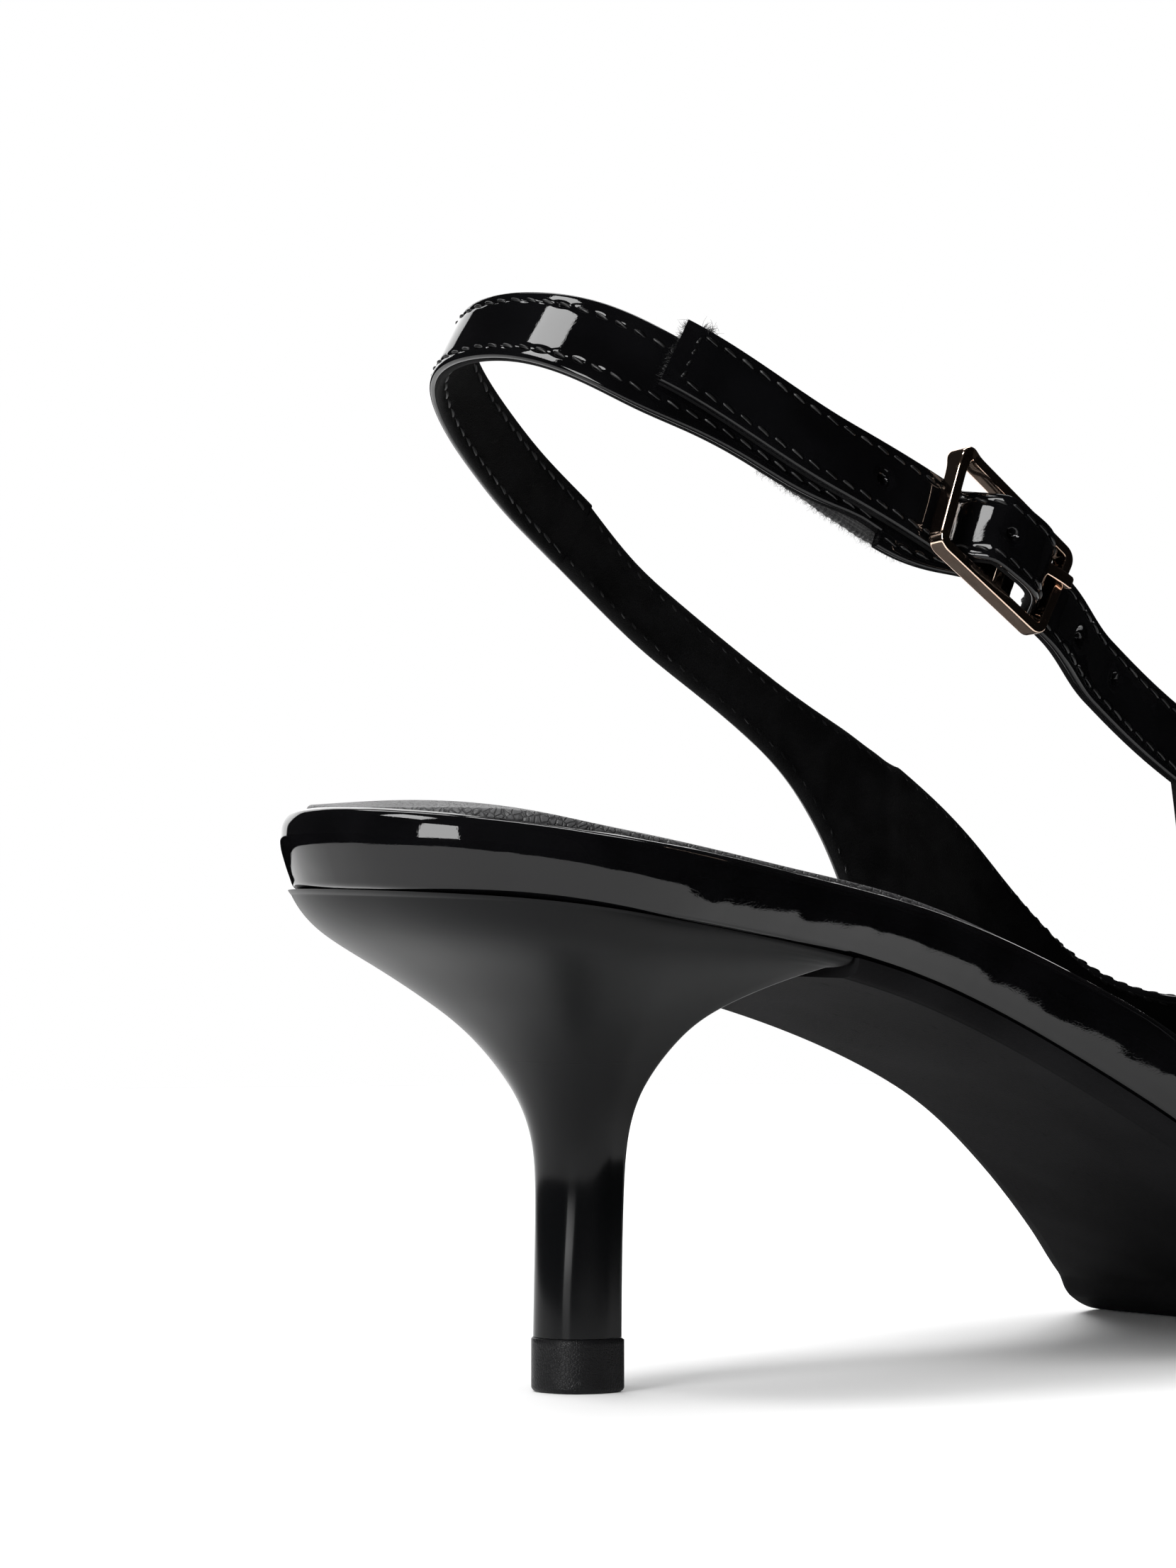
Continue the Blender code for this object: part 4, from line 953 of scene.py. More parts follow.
def group_tree(name, inputs, outputs):
    """A new shader group with its sockets; returns the tree and its two end nodes."""
    tree = bpy.data.node_groups.new(name, "ShaderNodeTree")
    for socket, kind, value in inputs:
        made = tree.interface.new_socket(name=socket, in_out="INPUT", socket_type=kind)
        if value is not None:
            made.default_value = value
    for socket, kind in outputs:
        tree.interface.new_socket(name=socket, in_out="OUTPUT", socket_type=kind)
    return tree, tree.nodes.new("NodeGroupInput"), tree.nodes.new("NodeGroupOutput")


def set_inputs(node, values):
    """Values or links on a node's inputs, by number or by name with _ for a space."""
    for key, value in values.items():
        socket = node.inputs[key.replace("_", " ") if isinstance(key, str) else key]
        if isinstance(value, bpy.types.NodeSocket):
            node.id_data.links.new(value, socket)
        else:
            socket.default_value = value
    return node


def add(tree, kind, *numbered, **values):
    """A node with its properties set and its inputs set or fed, the numbered ones in order."""
    node = tree.nodes.new(kind)
    for key in [key for key in values if hasattr(node, key)]:
        setattr(node, key, values.pop(key))
    set_inputs(node, dict(enumerate(numbered)))
    return set_inputs(node, values)


def grain_group():
    """Leather grain: rounded cells with fine creases between them, as a height."""
    tree, start, end = group_tree(
        "Leather grain",
        (("Vector", "NodeSocketVector", None), ("Cells per metre", "NodeSocketFloat", 1500.0)),
        (("Height", "NodeSocketFloat"), ("Crease", "NodeSocketFloat")),
    )
    at, cells_per_metre = start.outputs["Vector"], start.outputs["Cells per metre"]
    warp = add(tree, "ShaderNodeTexNoise", Vector=at, Scale=420.0, Detail=2.0, Roughness=0.5)
    moved = add(tree, "ShaderNodeVectorMath", warp.outputs["Color"], (0.0007, 0.0007, 0.0007), at,
                operation="MULTIPLY_ADD")
    cells = add(tree, "ShaderNodeTexVoronoi", feature="DISTANCE_TO_EDGE",
                Vector=moved.outputs["Vector"], Scale=cells_per_metre)
    crease = add(tree, "ShaderNodeMapRange", interpolation_type="SMOOTHSTEP", From_Min=0.0,
                 From_Max=0.16, To_Min=0.0, To_Max=1.0, Value=cells.outputs["Distance"])
    fine = add(tree, "ShaderNodeTexNoise", Vector=at, Scale=5200.0, Detail=2.0, Roughness=0.6)
    height = two_heights(tree, crease.outputs["Result"], fine.outputs["Fac"], 0.35)
    set_inputs(end, {"Height": height, "Crease": crease.outputs["Result"]})
    return tree


def wave_group():
    """Soft unevenness: two octaves of broad noise as a height, and the same as a mask."""
    tree, start, end = group_tree(
        "Soft unevenness",
        (("Vector", "NodeSocketVector", None), ("Waves per metre", "NodeSocketFloat", 90.0)),
        (("Height", "NodeSocketFloat"), ("Mask", "NodeSocketFloat")),
    )
    broad = add(tree, "ShaderNodeTexNoise", Vector=start.outputs["Vector"],
                Scale=start.outputs["Waves per metre"], Detail=1.5, Roughness=0.35, Distortion=0.3)
    mask = add(tree, "ShaderNodeMapRange", From_Min=0.35, From_Max=0.65, Value=broad.outputs["Fac"])
    set_inputs(end, {"Height": broad.outputs["Fac"], "Mask": mask.outputs["Result"]})
    return tree


def rub_group():
    """Handling marks: sparse fine scratches and dust specks, as a mask."""
    tree, start, end = group_tree(
        "Handling marks",
        (("Vector", "NodeSocketVector", None), ("Amount", "NodeSocketFloat", 0.5)),
        (("Mask", "NodeSocketFloat"),),
    )
    at = start.outputs["Vector"]
    turn = add(tree, "ShaderNodeMapping", Vector=at, Rotation=(0.5, 0.9, 0.3),
               Scale=(60.0, 900.0, 900.0))
    lines = add(tree, "ShaderNodeTexNoise", Vector=turn.outputs["Vector"], Scale=1.0, Detail=3.0,
                Roughness=0.6)
    thin = add(tree, "ShaderNodeMapRange", From_Min=0.66, From_Max=0.74, Value=lines.outputs["Fac"])
    specks = add(tree, "ShaderNodeTexVoronoi", Vector=at, Scale=420.0)
    dust = add(tree, "ShaderNodeMapRange", From_Min=0.09, From_Max=0.05,
               Value=specks.outputs["Distance"])
    most = add(tree, "ShaderNodeMath", thin.outputs["Result"], dust.outputs["Result"],
               operation="MAXIMUM")
    amount = add(tree, "ShaderNodeMath", most.outputs["Value"], start.outputs["Amount"],
                 operation="MULTIPLY")
    set_inputs(end, {"Mask": amount.outputs["Value"]})
    return tree


# Shader groups by short name: maker, group's name, input that takes the amount, mask it gives
GROUPS = {
    "grain": (grain_group, "Leather grain", "Cells per metre", "Crease"),
    "waves": (wave_group, "Soft unevenness", "Waves per metre", "Mask"),
    "marks": (rub_group, "Handling marks", "Amount", "Mask"),
}


def use_group(tree, key, vector, amount):
    """A group node fed with the piece's own coordinates; the group is made when first used."""
    maker, name, socket, _ = GROUPS[key]
    group = bpy.data.node_groups.get(name) or maker()
    node = add(tree, "ShaderNodeGroup", node_tree=group)
    return set_inputs(node, {"Vector": vector, socket: amount})


def plain_material(name, **values):
    """A material with plain values on its shader; returns it, its tree and its shader."""
    material = bpy.data.materials.new(name)
    material.use_nodes = True
    shader = set_inputs(material.node_tree.nodes["Principled BSDF"], values)
    return material, material.node_tree, shader


def two_tones(tree, mask, colour, second):
    """A mix of two colours by a mask."""
    mix = add(tree, "ShaderNodeMix", mask, data_type="RGBA")
    set_inputs(mix, {6: (*colour, 1), 7: (*second, 1)})
    return mix.outputs[2]


def material_of(name, colour, second, roughness, rough_span, build, **constants):
    """A material: two near colours and a span of roughness by masks; build adds its bump.

    build(tree, at) gives the height socket, bump strength, bump distance, colour mask and
    roughness mask.
    """
    if name in bpy.data.materials:
        return bpy.data.materials[name]
    material, tree, shader = plain_material(name, **constants)
    at = tree.nodes.new("ShaderNodeTexCoord").outputs["Object"]
    height, strength, distance, mask, rub = build(tree, at)
    mix = two_tones(tree, mask, colour, second)
    span = add(tree, "ShaderNodeMapRange", To_Min=roughness, To_Max=roughness + rough_span,
               Value=rub)
    bump = add(tree, "ShaderNodeBump", Strength=strength, Distance=distance, Height=height)
    set_inputs(shader, {"Base Color": mix, "Roughness": span.outputs["Result"],
                        "Normal": bump.outputs["Normal"]})
    return material


def two_heights(tree, first, second, share):
    """first + share times second."""
    total = add(tree, "ShaderNodeMath", second, share, first, operation="MULTIPLY_ADD")
    return total.outputs["Value"]


def finish(heights, bump, masks, **amounts):
    """A material's build function from the shader groups named in amounts, in that order.

    heights names one group, or two and the second one's share; bump is strength and distance;
    masks names the groups that mix the colours and spread the roughness.
    """

    def build(tree, at):
        nodes = {key: use_group(tree, key, at, amount) for key, amount in amounts.items()}
        height = nodes[heights[0]].outputs["Height"]
        if len(heights) > 1:
            height = two_heights(tree, height, nodes[heights[1]].outputs["Height"], heights[2])
        return height, *bump, *(nodes[key].outputs[GROUPS[key][3]] for key in masks)

    return build


def looks():
    """The scene's settings, one group of them for each kind of thing."""
    scene = bpy.context.scene
    return scene.pump_leather, scene.pump_stitch, scene.pump_buckle, scene.pump_sole


def patent():
    """Black patent leather: mirror gloss over a slightly uneven, faintly pebbled film."""
    leather = looks()[0]
    c = np.array(leather.patent)
    build = finish(("waves", "grain", 0.0025), (0.34, 0.0006), ("waves", "marks"),
                   waves=leather.waves, grain=2600.0, marks=0.25)
    return material_of(
        "Black patent", c, c * 1.7, leather.gloss, 0.16, build, Specular_IOR_Level=0.36)


def lining():
    """Matt black lining with a short nap."""
    c = np.array(looks()[0].lining)
    build = finish(("grain", "waves", 0.8), (0.55, 0.00012), ("waves", "marks"),
                   grain=3400.0, waves=260.0, marks=1.0)
    return material_of(
        "Matt lining", c * 0.7, c * 1.5, 0.78, -0.15, build, Specular_IOR_Level=0.10)


def sock_leather():
    """Black sock leather: an even pebble grain, darker in its creases as painted shade and lighter on
    its tops as a painted sheen.
    """
    c = np.array(looks()[0].sock)
    # painted light: the grain's crease mask sets the colour, so the creases get c * 0.45 as painted
    # shade and the tops the full colour as painted sheen
    build = finish(("grain", "waves", 0.9), (0.6, 0.00022), ("grain", "waves"),
                   grain=1250.0, waves=70.0)
    return material_of("Sock leather", c * 0.45, c, 0.40, 0.12, build, IOR=1.48)


def thread():
    """Dark waxed thread: twisted plies as slanted waves."""

    def build(tree, at):
        turn = add(tree, "ShaderNodeMapping", Vector=at, Rotation=(0.4, 0.7, 0.6))
        ply = add(tree, "ShaderNodeTexWave", Vector=turn.outputs["Vector"], Scale=640.0,
                  Distortion=1.2, Detail=1.0)
        waves = use_group(tree, "waves", at, 700.0)
        return ply.outputs["Fac"], 0.7, 0.00006, ply.outputs["Fac"], waves.outputs["Mask"]

    c = np.array(looks()[1].colour)
    return material_of("Waxed thread", c * 0.5, c, 0.32, 0.2, build)


def sole_leather():
    """Satin dark sole, finely brushed."""
    c = np.array(looks()[3].sole)
    build = finish(("waves", "grain", 0.05), (0.35, 0.0005), ("waves", "marks"),
                   grain=2200.0, marks=0.8, waves=60.0)
    return material_of(
        "Sole leather", c * 0.8, c * 1.2, 0.58, 0.12, build, Specular_IOR_Level=0.004)


def heel_gloss():
    """Painted heel: a glossy column that turns softer towards the cup, slightly wavy."""

    def build(tree, at):
        waves = use_group(tree, "waves", at, 55.0)
        height = add(tree, "ShaderNodeSeparateXYZ", at).outputs["Z"]
        cup = add(tree, "ShaderNodeMapRange", From_Min=0.030, From_Max=0.041, Value=height)
        return waves.outputs["Height"], 0.25, 0.0006, waves.outputs["Mask"], cup.outputs["Result"]

    sole = looks()[3]
    c = np.array(sole.heel)
    return material_of(
        "Heel lacquer", c * 0.85, c * 1.15, sole.heel_gloss, 0.26, build, Specular_IOR_Level=0.15)


def tip_rubber():
    """Top piece: faintly grained satin rubber."""
    c = np.array(looks()[3].tip)
    build = finish(("grain",), (0.35, 0.00008), ("grain", "marks"), grain=3000.0, marks=1.0)
    return material_of("Tip rubber", c * 0.8, c, 0.36, 0.2, build, Specular_IOR_Level=0.15)


def elastic_fabric():
    """Covered elastic: fine ribs across the band and crossing yarns, matt."""

    def build(tree, at):
        lay = add(tree, "ShaderNodeUVMap", uv_map="lay").outputs["UV"]
        ribs = add(tree, "ShaderNodeTexWave", lay, Scale=520.0, Distortion=0.6, Detail=1.0)
        yarns = add(tree, "ShaderNodeTexWave", lay, Scale=900.0, Distortion=0.8,
                    bands_direction="Y")
        waves = use_group(tree, "waves", at, 500.0)
        height = two_heights(tree, ribs.outputs["Fac"], yarns.outputs["Fac"], 0.7)
        return height, 0.9, 0.00016, ribs.outputs["Fac"], waves.outputs["Mask"]

    c = np.array(looks()[0].elastic)
    return material_of("Elastic fabric", c * 0.6, c * 1.3, 0.9, 0.08, build, Sheen_Weight=0.35)


def elastic_fibre():
    """Loose black fibre, matt with a light sheen."""
    c = np.array(looks()[0].elastic)
    build = finish(("waves",), (0.3, 0.00005), ("waves", "waves"), waves=900.0)
    return material_of("Loose fibre", c, c * 2.2, 0.75, 0.15, build, Sheen_Weight=0.3)


def rose_metal():
    """Polished rose metal with hairline polishing marks."""
    c = np.array(looks()[2].metal)
    build = finish(("waves",), (0.20, 0.00010), ("waves", "marks"), waves=420.0, marks=0.6)
    return material_of("Rose metal", c, c * (0.97, 0.93, 0.90), 0.09, 0.15, build, Metallic=1.0)


# Settings


def colour_prop(name, text, value):
    """A colour setting with three channels."""
    return bpy.props.FloatVectorProperty(
        name=name, description=text, default=value, size=3, min=0.0, max=1.0, subtype="COLOR")


def length_prop(name, text, value, most=0.05):
    """A length setting in metres."""
    return bpy.props.FloatProperty(
        name=name, description=text, default=value, min=0.0, max=most, precision=5, unit="LENGTH")


def number_prop(name, text, value, least, most, **more):
    """A plain number setting between two limits."""
    return bpy.props.FloatProperty(
        name=name, description=text, default=value, min=least, max=most, **more)


def power_prop(name, text, value):
    """The power of a light."""
    return number_prop(name, text, value, 0.0, 5000.0, unit="POWER")


class PumpLeather(bpy.types.PropertyGroup):
    """Leathers and elastic of the pump."""

    patent: colour_prop("Patent", "Colour under the patent gloss", (0.0014, 0.0014, 0.0016))
    lining: colour_prop("Lining", "Colour of the matt lining", (0.0024, 0.0024, 0.0026))
    # painted light: the sock's black leather colour is raised well above its own to stand for the light
    # falling on its top
    sock: colour_prop("Sock", "Colour of the sock leather", (0.066, 0.066, 0.068))
    elastic: colour_prop("Elastic", "Colour of the elastic", (0.0060, 0.0060, 0.0065))
    gloss: number_prop("Patent roughness", "Least roughness of the patent face", 0.025, 0.0, 1.0,
                       subtype="FACTOR")
    waves: number_prop("Patent waves", "Soft waves in the patent face for each metre",
                       130.0, 1.0, 2000.0)


class PumpStitch(bpy.types.PropertyGroup):
    """Seams along the straps and the topline."""

    colour: colour_prop("Thread", "Colour of the thread", (0.0032, 0.0032, 0.0036))
    pitch: length_prop("Stitch length", "Length of one stitch with its gap", 0.0023, 0.01)
    radius: length_prop("Thread radius", "Half the thickness of the thread", 0.00019, 0.002)
    inset: length_prop("Edge distance", "Stitch line's distance from the edge", 0.00118, 0.01)


class PumpBuckle(bpy.types.PropertyGroup):
    """Buckle frame and prong."""

    metal: colour_prop("Metal", "Colour of the polished metal", (0.93, 0.71, 0.57))
    length: length_prop("Frame length", "Length of the frame along the strap", 0.0186)
    width: length_prop("Frame width", "Width of the frame across the strap", 0.0127)
    bar: length_prop("Bar width", "Width of the frame's bars", 0.00128, 0.01)
    depth: length_prop("Frame depth", "Depth of the frame's bars", 0.0022, 0.01)
    turn: number_prop("Turn", "Turn of the frame in its own plane, front end down",
                      0.0436, -0.5, 0.5, subtype="ANGLE")


class PumpSole(bpy.types.PropertyGroup):
    """Outsole, heel and top piece."""

    sole: colour_prop("Sole", "Colour of the outsole", (0.0085, 0.0085, 0.0090))
    heel: colour_prop("Heel", "Colour of the heel's lacquer", (0.0024, 0.0026, 0.0029))
    tip: colour_prop("Tip", "Colour of the rubber top piece", (0.0055, 0.0055, 0.0060))
    heel_gloss: number_prop("Heel roughness", "Least roughness of the heel's lacquer",
                            0.12, 0.0, 1.0, subtype="FACTOR")


class PumpStage(bpy.types.PropertyGroup):
    """Table, backdrop, lights and camera."""

    floor: colour_prop("Floor", "Colour of the floor", (0.90, 0.90, 0.90))
    backdrop: number_prop("Backdrop", "Brightness of the paper behind the shoe", 1.0, 0.0, 20.0)
    key: power_prop("Side softbox", "Power of the tall softbox at the back of the heel", 40.0)
    top: power_prop("Top softbox", "Power of the small softbox over the sling", 9.2)
    over: power_prop("Overhead strip", "Power of the strip light above and behind", 12.0)
    fill: power_prop("Overhead fill", "Power of the wide soft light above the table", 62.0)
    lens: number_prop("Lens", "Focal length on a 36 mm sensor along the picture's height",
                      LENS, 20.0, 400.0)


# Pieces


class PUMP_OT_outsole(bpy.types.Operator):
    """Make the outsole: thin bevelled waist, thicker tread."""

    bl_idname = "pump.outsole"
    bl_label = "Outsole"

    def execute(self, context):
        u = stations(BREAST_AT / LENGTH)
        tread = ease((u - 0.55) / 0.08)
        rows = rounded_profile(SOLE_PROFILE, 13)
        depth, more = np.array(SOLE_RIM).T
        base = np.column_stack([depth, rows[0, 1:] + more[:, None]])
        rings = []
        for share, waist, fore in np.concatenate([base, rows[1:]]):
            plan = outline(u, -BALL_WIDTH * (waist + (fore - waist) * tread))
            x, y = plan.T
            rings.append((plan, sole_top(x, y) - share * sole_thick(x, y)))

        def low(x, y):
            return sole_top(x, y) - sole_thick(x, y)

        place(slab("outsole_leather", rings, low, sole_top, 30, [sole_leather()]),
              "outsole_leather", "outsole")
        return {"FINISHED"}


class PUMP_OT_heel(bpy.types.Operator):
    """Make the heel: cup under the seat that sweeps into a thin column."""

    bl_idname = "pump.heel"
    bl_label = "Heel"

    def execute(self, context):
        tip_back, tip_front = HEEL_AT - TIP_DEPTH / 2, HEEL_AT + TIP_DEPTH / 2
        tip_widest = tip_back + TIP_WIDEST * TIP_DEPTH
        seat_half = SEAT_WIDTH / 2 - HEEL_INSET
        rows = np.array(HEEL)
        at = np.linspace(0, 1, len(rows))
        t = np.concatenate([np.linspace(0, 0.2, 24), np.linspace(0.2, 1, 141)[1:]])
        high_b, high_f, back, widest, front, width = (spline(t, at, c) for c in rows.T)
        low = TOP_PIECE + CLEAR
        span = SEAT_HEIGHT - low
        rings = []
        for k in range(len(t)):
            b = tip_back + (HEEL_INSET - tip_back) * back[k]
            f = tip_front + (BREAST_AT - CLEAR - tip_front) * front[k]
            c = tip_widest + (CUP_WIDEST * SEAT_ROUND * LENGTH - tip_widest) * widest[k]
            w = TIP_WIDTH / 2 + (seat_half - TIP_WIDTH / 2) * width[k]
            hollow = BREAST_HOLLOW * max(front[k], 0.02)
            plan, side = heel_section(b, c, f, w, hollow, 34, 24)
            x, y = plan.T
            z = low + span * (high_b[k] + (high_f[k] - high_b[k]) * (x - b) / (f - b))
            top = sole_top(x, y)
            gap = TOP_GAP * 0.1 * (len(t) - 1 - k)
            z = top if k == len(t) - 1 else np.minimum(z, top - gap)
            rings.append(np.column_stack([plan, z]))
        place(stacked("heel_lacquered", rings, side, 24, [heel_gloss()], sole_top),
              "heel_gloss", "heel")
        return {"FINISHED"}


class PUMP_OT_top_piece(bpy.types.Operator):
    """Make the rubber top piece with its rounded lower rim."""

    bl_idname = "pump.top_piece"
    bl_label = "Top piece"

    def execute(self, context):
        a = np.linspace(0, np.pi / 2, 8)
        wall = np.linspace(TIP_ROUND, TOP_PIECE - TIP_PROUD, 12)[1:]
        z = np.concatenate([TIP_ROUND * (1 - np.cos(a)), wall, [TOP_PIECE]])
        grow = np.concatenate([TIP_PROUD - TIP_ROUND * (1 - np.sin(a)), np.full(11, TIP_PROUD), [0.0]])
        rings = []
        for height, more in zip(z, grow):
            back, front = HEEL_AT - TIP_DEPTH / 2 - more, HEEL_AT + TIP_DEPTH / 2 + more
            widest = back + TIP_WIDEST * (front - back)
            plan, side = heel_section(back, widest, front, TIP_WIDTH / 2 + more, 0.0001, 30, 14)
            rings.append(np.column_stack([plan, np.full(len(plan), height)]))
        piece = stacked("top_piece_rubber", rings, side, 14, [tip_rubber()])
        place(piece, "tip_rubber", "top_piece")
        return {"FINISHED"}


class PUMP_OT_footbed(bpy.types.Operator):
    """Make the covered insole band: a tall side with a rounded rim."""

    bl_idname = "pump.footbed"
    bl_label = "Insole band"

    def execute(self, context):
        u = stations(0)
        slim = np.minimum(edge_height(u * LENGTH), EDGE_HEIGHT)
        rows = np.array(EDGE_PROFILE)
        rings = []
        for share, inset in rounded_profile(EDGE_PROFILE, 56):
            plan = outline(u, board_grow(u) - inset * slim)
            x, y = plan.T
            rings.append((plan, board_low(x, y) + share * edge_height(x)))
        rim = rows[-1, 1]
        for f in (0.25, 0.5, 0.75, 1.0):
            plan = outline(u, board_grow(u) - (rim * slim * (1 - f) + 0.85 * SOCK_INSET * f))
            x, y = plan.T
            rings.append((plan, board_low(x, y) + edge_height(x) - DISH * ease(f)))
        place(slab("insole_band", rings, board_low, board_high, 24, [patent()]),
              "patent_leather", "footbed")
        return {"FINISHED"}


class PUMP_OT_sock(bpy.types.Operator):
    """Make the padded leather sock: domed at the seat, pulled in at its edge."""

    bl_idname = "pump.sock"
    bl_label = "Sock"

    def execute(self, context):
        u = stations(0)
        toe_room = SOCK_THICK * ease((u - 0.75) / 0.2)
        a = np.linspace(0, np.pi / 2, 7)
        share = np.concatenate([[0.0, 0.25], 0.45 + 0.55 * np.sin(a)])
        inset = np.concatenate([[0.0, 0.0], 0.85 * (1 - np.cos(a))]) * SOCK_THICK
        rings = []
        for f, pull in zip(share, inset):
            plan = outline(u, board_grow(u) - SOCK_INSET - pull - toe_room)
            x, y = plan.T
            rings.append((plan, sock_low(x, y) + f * (sock_high(x, y) - sock_low(x, y))))
        piece = slab("sock_padded", rings, sock_low, sock_high, 60, [sock_leather()])
        place(piece, "sock_leather", "sock")
        return {"FINISHED"}


class PUMP_OT_upper(bpy.types.Operator):
    """Make the vamp and quarters as one lined wall, with the stitching along its edges."""

    bl_idname = "pump.upper"
    bl_label = "Upper"

    def execute(self, context):
        inset = looks()[1].inset
        shell = upper_shell("upper_lined", [patent(), lining()], inset)
        place(shell, "patent_leather", "upper")
        stitches("upper_stitches", upper_seams(inset))
        return {"FINISHED"}


class PUMP_OT_sling(bpy.types.Operator):
    """Make the sling strap round the back of the heel, with its two stitch lines."""

    bl_idname = "pump.sling"
    bl_label = "Sling strap"

    def execute(self, context):
        start = run_at(INNER_WING_END * LENGTH, 1) + 0.1 * CLEAR
        end = BUCKLE_RUN + TAB[0][0] * FRAME_DEPTH - CLEAR
        s = np.linspace(start, end, 520)
        strap("sling", "sling_strap", s, sling_at, s[3:-3], wider=sling_lay(s)[1] - STRAP_WIDTH)
        return {"FINISHED"}


class PUMP_OT_buckle_strap(bpy.types.Operator):
    """Make the strap through the buckle: its holes, stitch lines and cut free end."""

    bl_idname = "pump.buckle_strap"
    bl_label = "Buckle strap"

    def execute(self, context):
        start = run_at(TAIL_END, -1)
        end = run_at(OUTER_WING_END * LENGTH, -1) - SEAM_GAP
        holes = [(BUCKLE_RUN + s, side) for s, side in HOLES]
        # even rows along the strap, and finer ones over its holes
        s = np.linspace(start, end, 330)
        near = [at + np.linspace(-1, 1, 27) * HOLE_ZONE for at, _ in holes]
        s = np.unique(np.round(np.concatenate([s, *near]), 6))
        s = s[np.concatenate([[True], np.diff(s) > 4e-5])]
        s = np.clip(s, start, end)
        sewn = np.linspace(start + 0.0022, end - 0.0004, 900)
        strap("buckle_strap", "buckle_strap", s, buckle_strap_at, sewn, holes=holes)
        self.free_end(start, STRAP_WIDTH / 2 - looks()[1].inset)
        return {"FINISHED"}

    def free_end(self, start, line):
        """The end's cross stitching, its cut layers' fibres and the tuft at its upper corner."""
        p, w, n = buckle_strap_at(np.array([start, start + CROSS_SEAM, start + 0.001]))
        across = np.linspace(-1, 1, 40)[:, None] * line
        for name, out in (("outer", 1.0), ("inner", -1.0)):
            row = p[1] + w[1] * across + n[1] * out * STRAP_THICK / 2
            normals = np.broadcast_to(n[1] * out, row.shape)
            stitches("end_stitches_" + name, [(row, normals)], line / 2)
        back = unit(p[0] - p[2])[None]
        count = FIBRES["end_fibres"][0]
        side = RNG.uniform(-0.48, 0.48, count) * STRAP_WIDTH
        layer = RNG.choice([-0.12, 0.0, 0.1, 0.28], count) * STRAP_THICK
        roots = p[0] + w[0] * side[:, None] + n[0] * layer[:, None] - back * 0.0002
        ways = unit(back + RNG.normal(0, 0.45, (count, 3)))
        fibres("end_fibres", roots, ways, thread(), "patent_leather")
        count = FIBRES["end_tuft"][0]
        tuft = p[1] - back * 0.0006 + w[1] * (STRAP_WIDTH / 2 - 0.0003) + n[1] * 0.0001
        roots = tuft + RNG.normal(0, 0.00035, (count, 3))
        ways = unit(0.9 * w[1] - 0.5 * back + RNG.normal(0, 0.5, (count, 3)))
        fibres("end_tuft", roots, ways, thread(), "patent_leather")


class PUMP_OT_tab(bpy.types.Operator):
    """Make the short tab that carries the buckle's centre bar."""

    bl_idname = "pump.tab"
    bl_label = "Buckle tab"

    def execute(self, context):
        s = np.linspace(TAB[0][0], TAB[-1][0], 90) * FRAME_DEPTH + BUCKLE_RUN
        strap("tab", "buckle_tab", s, tab_at, s[2:-2], 0.86 * STRAP_WIDTH, 0.8 * STRAP_THICK,
              edge=0.0004, both=False)
        return {"FINISHED"}


class PUMP_OT_elastic(bpy.types.Operator):
    """Make the ribbed elastic inside the sling's front end, with its loose fibres."""

    bl_idname = "pump.elastic"
    bl_label = "Elastic"

    def execute(self, context):
        s = np.linspace(BUCKLE_RUN - ELASTIC_FROM, BUCKLE_RUN - ELASTIC_TO, 160)
        p, _, w, n = frame_on(s)
        f = (s - s[0]) / (s[-1] - s[0])
        down = 0.0005 + 0.0009 * ease(f / 0.7) - 0.0003 * ease((f - 0.8) / 0.2)
        inside = (STRAP_THICK + ELASTIC_THICK) / 2 + CLEAR
        path = p - w * down[:, None] - n * inside
        section = bar_section(ELASTIC_WIDTH, ELASTIC_THICK, 6, 72)
        ripple = 1 + 0.012 * np.sin(2 * np.pi * s / 0.0011) + 0.010 * np.sin(2 * np.pi * s / 0.0047)
        verts = path[:, None] + w[:, None] * section[None, :, :1] * ripple[:, None, None]
        verts = verts + n[:, None] * section[None, :, 1:]
        rows, cols = verts.shape[:2]
        piece = make("elastic_band", verts, grid_faces(rows, cols, 0, True), [elastic_fabric()],
                     None, end_caps(rows, cols))
        self.lay(piece, s, path, w)
        place(piece, "elastic_fabric", "elastic")
        count = FIBRES["elastic_fibres"][0]
        k = RNG.integers(0, rows, count)
        edge = RNG.random(count) < 0.8
        side = np.where(edge, -0.5 + 0.02 * RNG.random(count), RNG.uniform(-0.5, 0.5, count))
        out = np.where(edge, RNG.uniform(-0.45, 0.45, count), 0.5)
        roots = path[k] + w[k] * (side * ELASTIC_WIDTH)[:, None]
        roots = roots + n[k] * (out * ELASTIC_THICK)[:, None]
        ways = unit(-w[k] * 0.8 + n[k] * 0.3 + RNG.normal(0, 0.6, (count, 3)))
        fibres("elastic_fibres", roots, ways, elastic_fibre(), "elastic_fabric")
        return {"FINISHED"}

    def lay(self, piece, s, path, w):
        """UV map of the band in metres: along it by the nearest section, across it by its height."""
        mesh = piece.data
        verts = np.zeros(len(mesh.vertices) * 3)
        mesh.vertices.foreach_get("co", verts)
        verts = verts.reshape(-1, 3) + (HEEL_AT, 0, 0)
        k = np.argmin(np.linalg.norm(verts[:, None] - path[None], axis=2), axis=1)
        along, across = s[k], ((verts - path[k]) * w[k]).sum(-1)
        index = np.zeros(len(mesh.loops), np.int32)
        mesh.loops.foreach_get("vertex_index", index)
        layer = mesh.uv_layers.new(name="lay")
        layer.data.foreach_set("uv", np.column_stack([along[index], across[index]]).ravel())


def buckle_plane(turned=True):
    """Middle of the buckle strap's line at the buckle and the frame's own three directions."""
    at, t, w, n = (v[0] for v in frame_on(np.array([BUCKLE_RUN])))
    a = looks()[2].turn if turned else 0.0
    return at, t * np.cos(a) - w * np.sin(a), w * np.cos(a) + t * np.sin(a), n


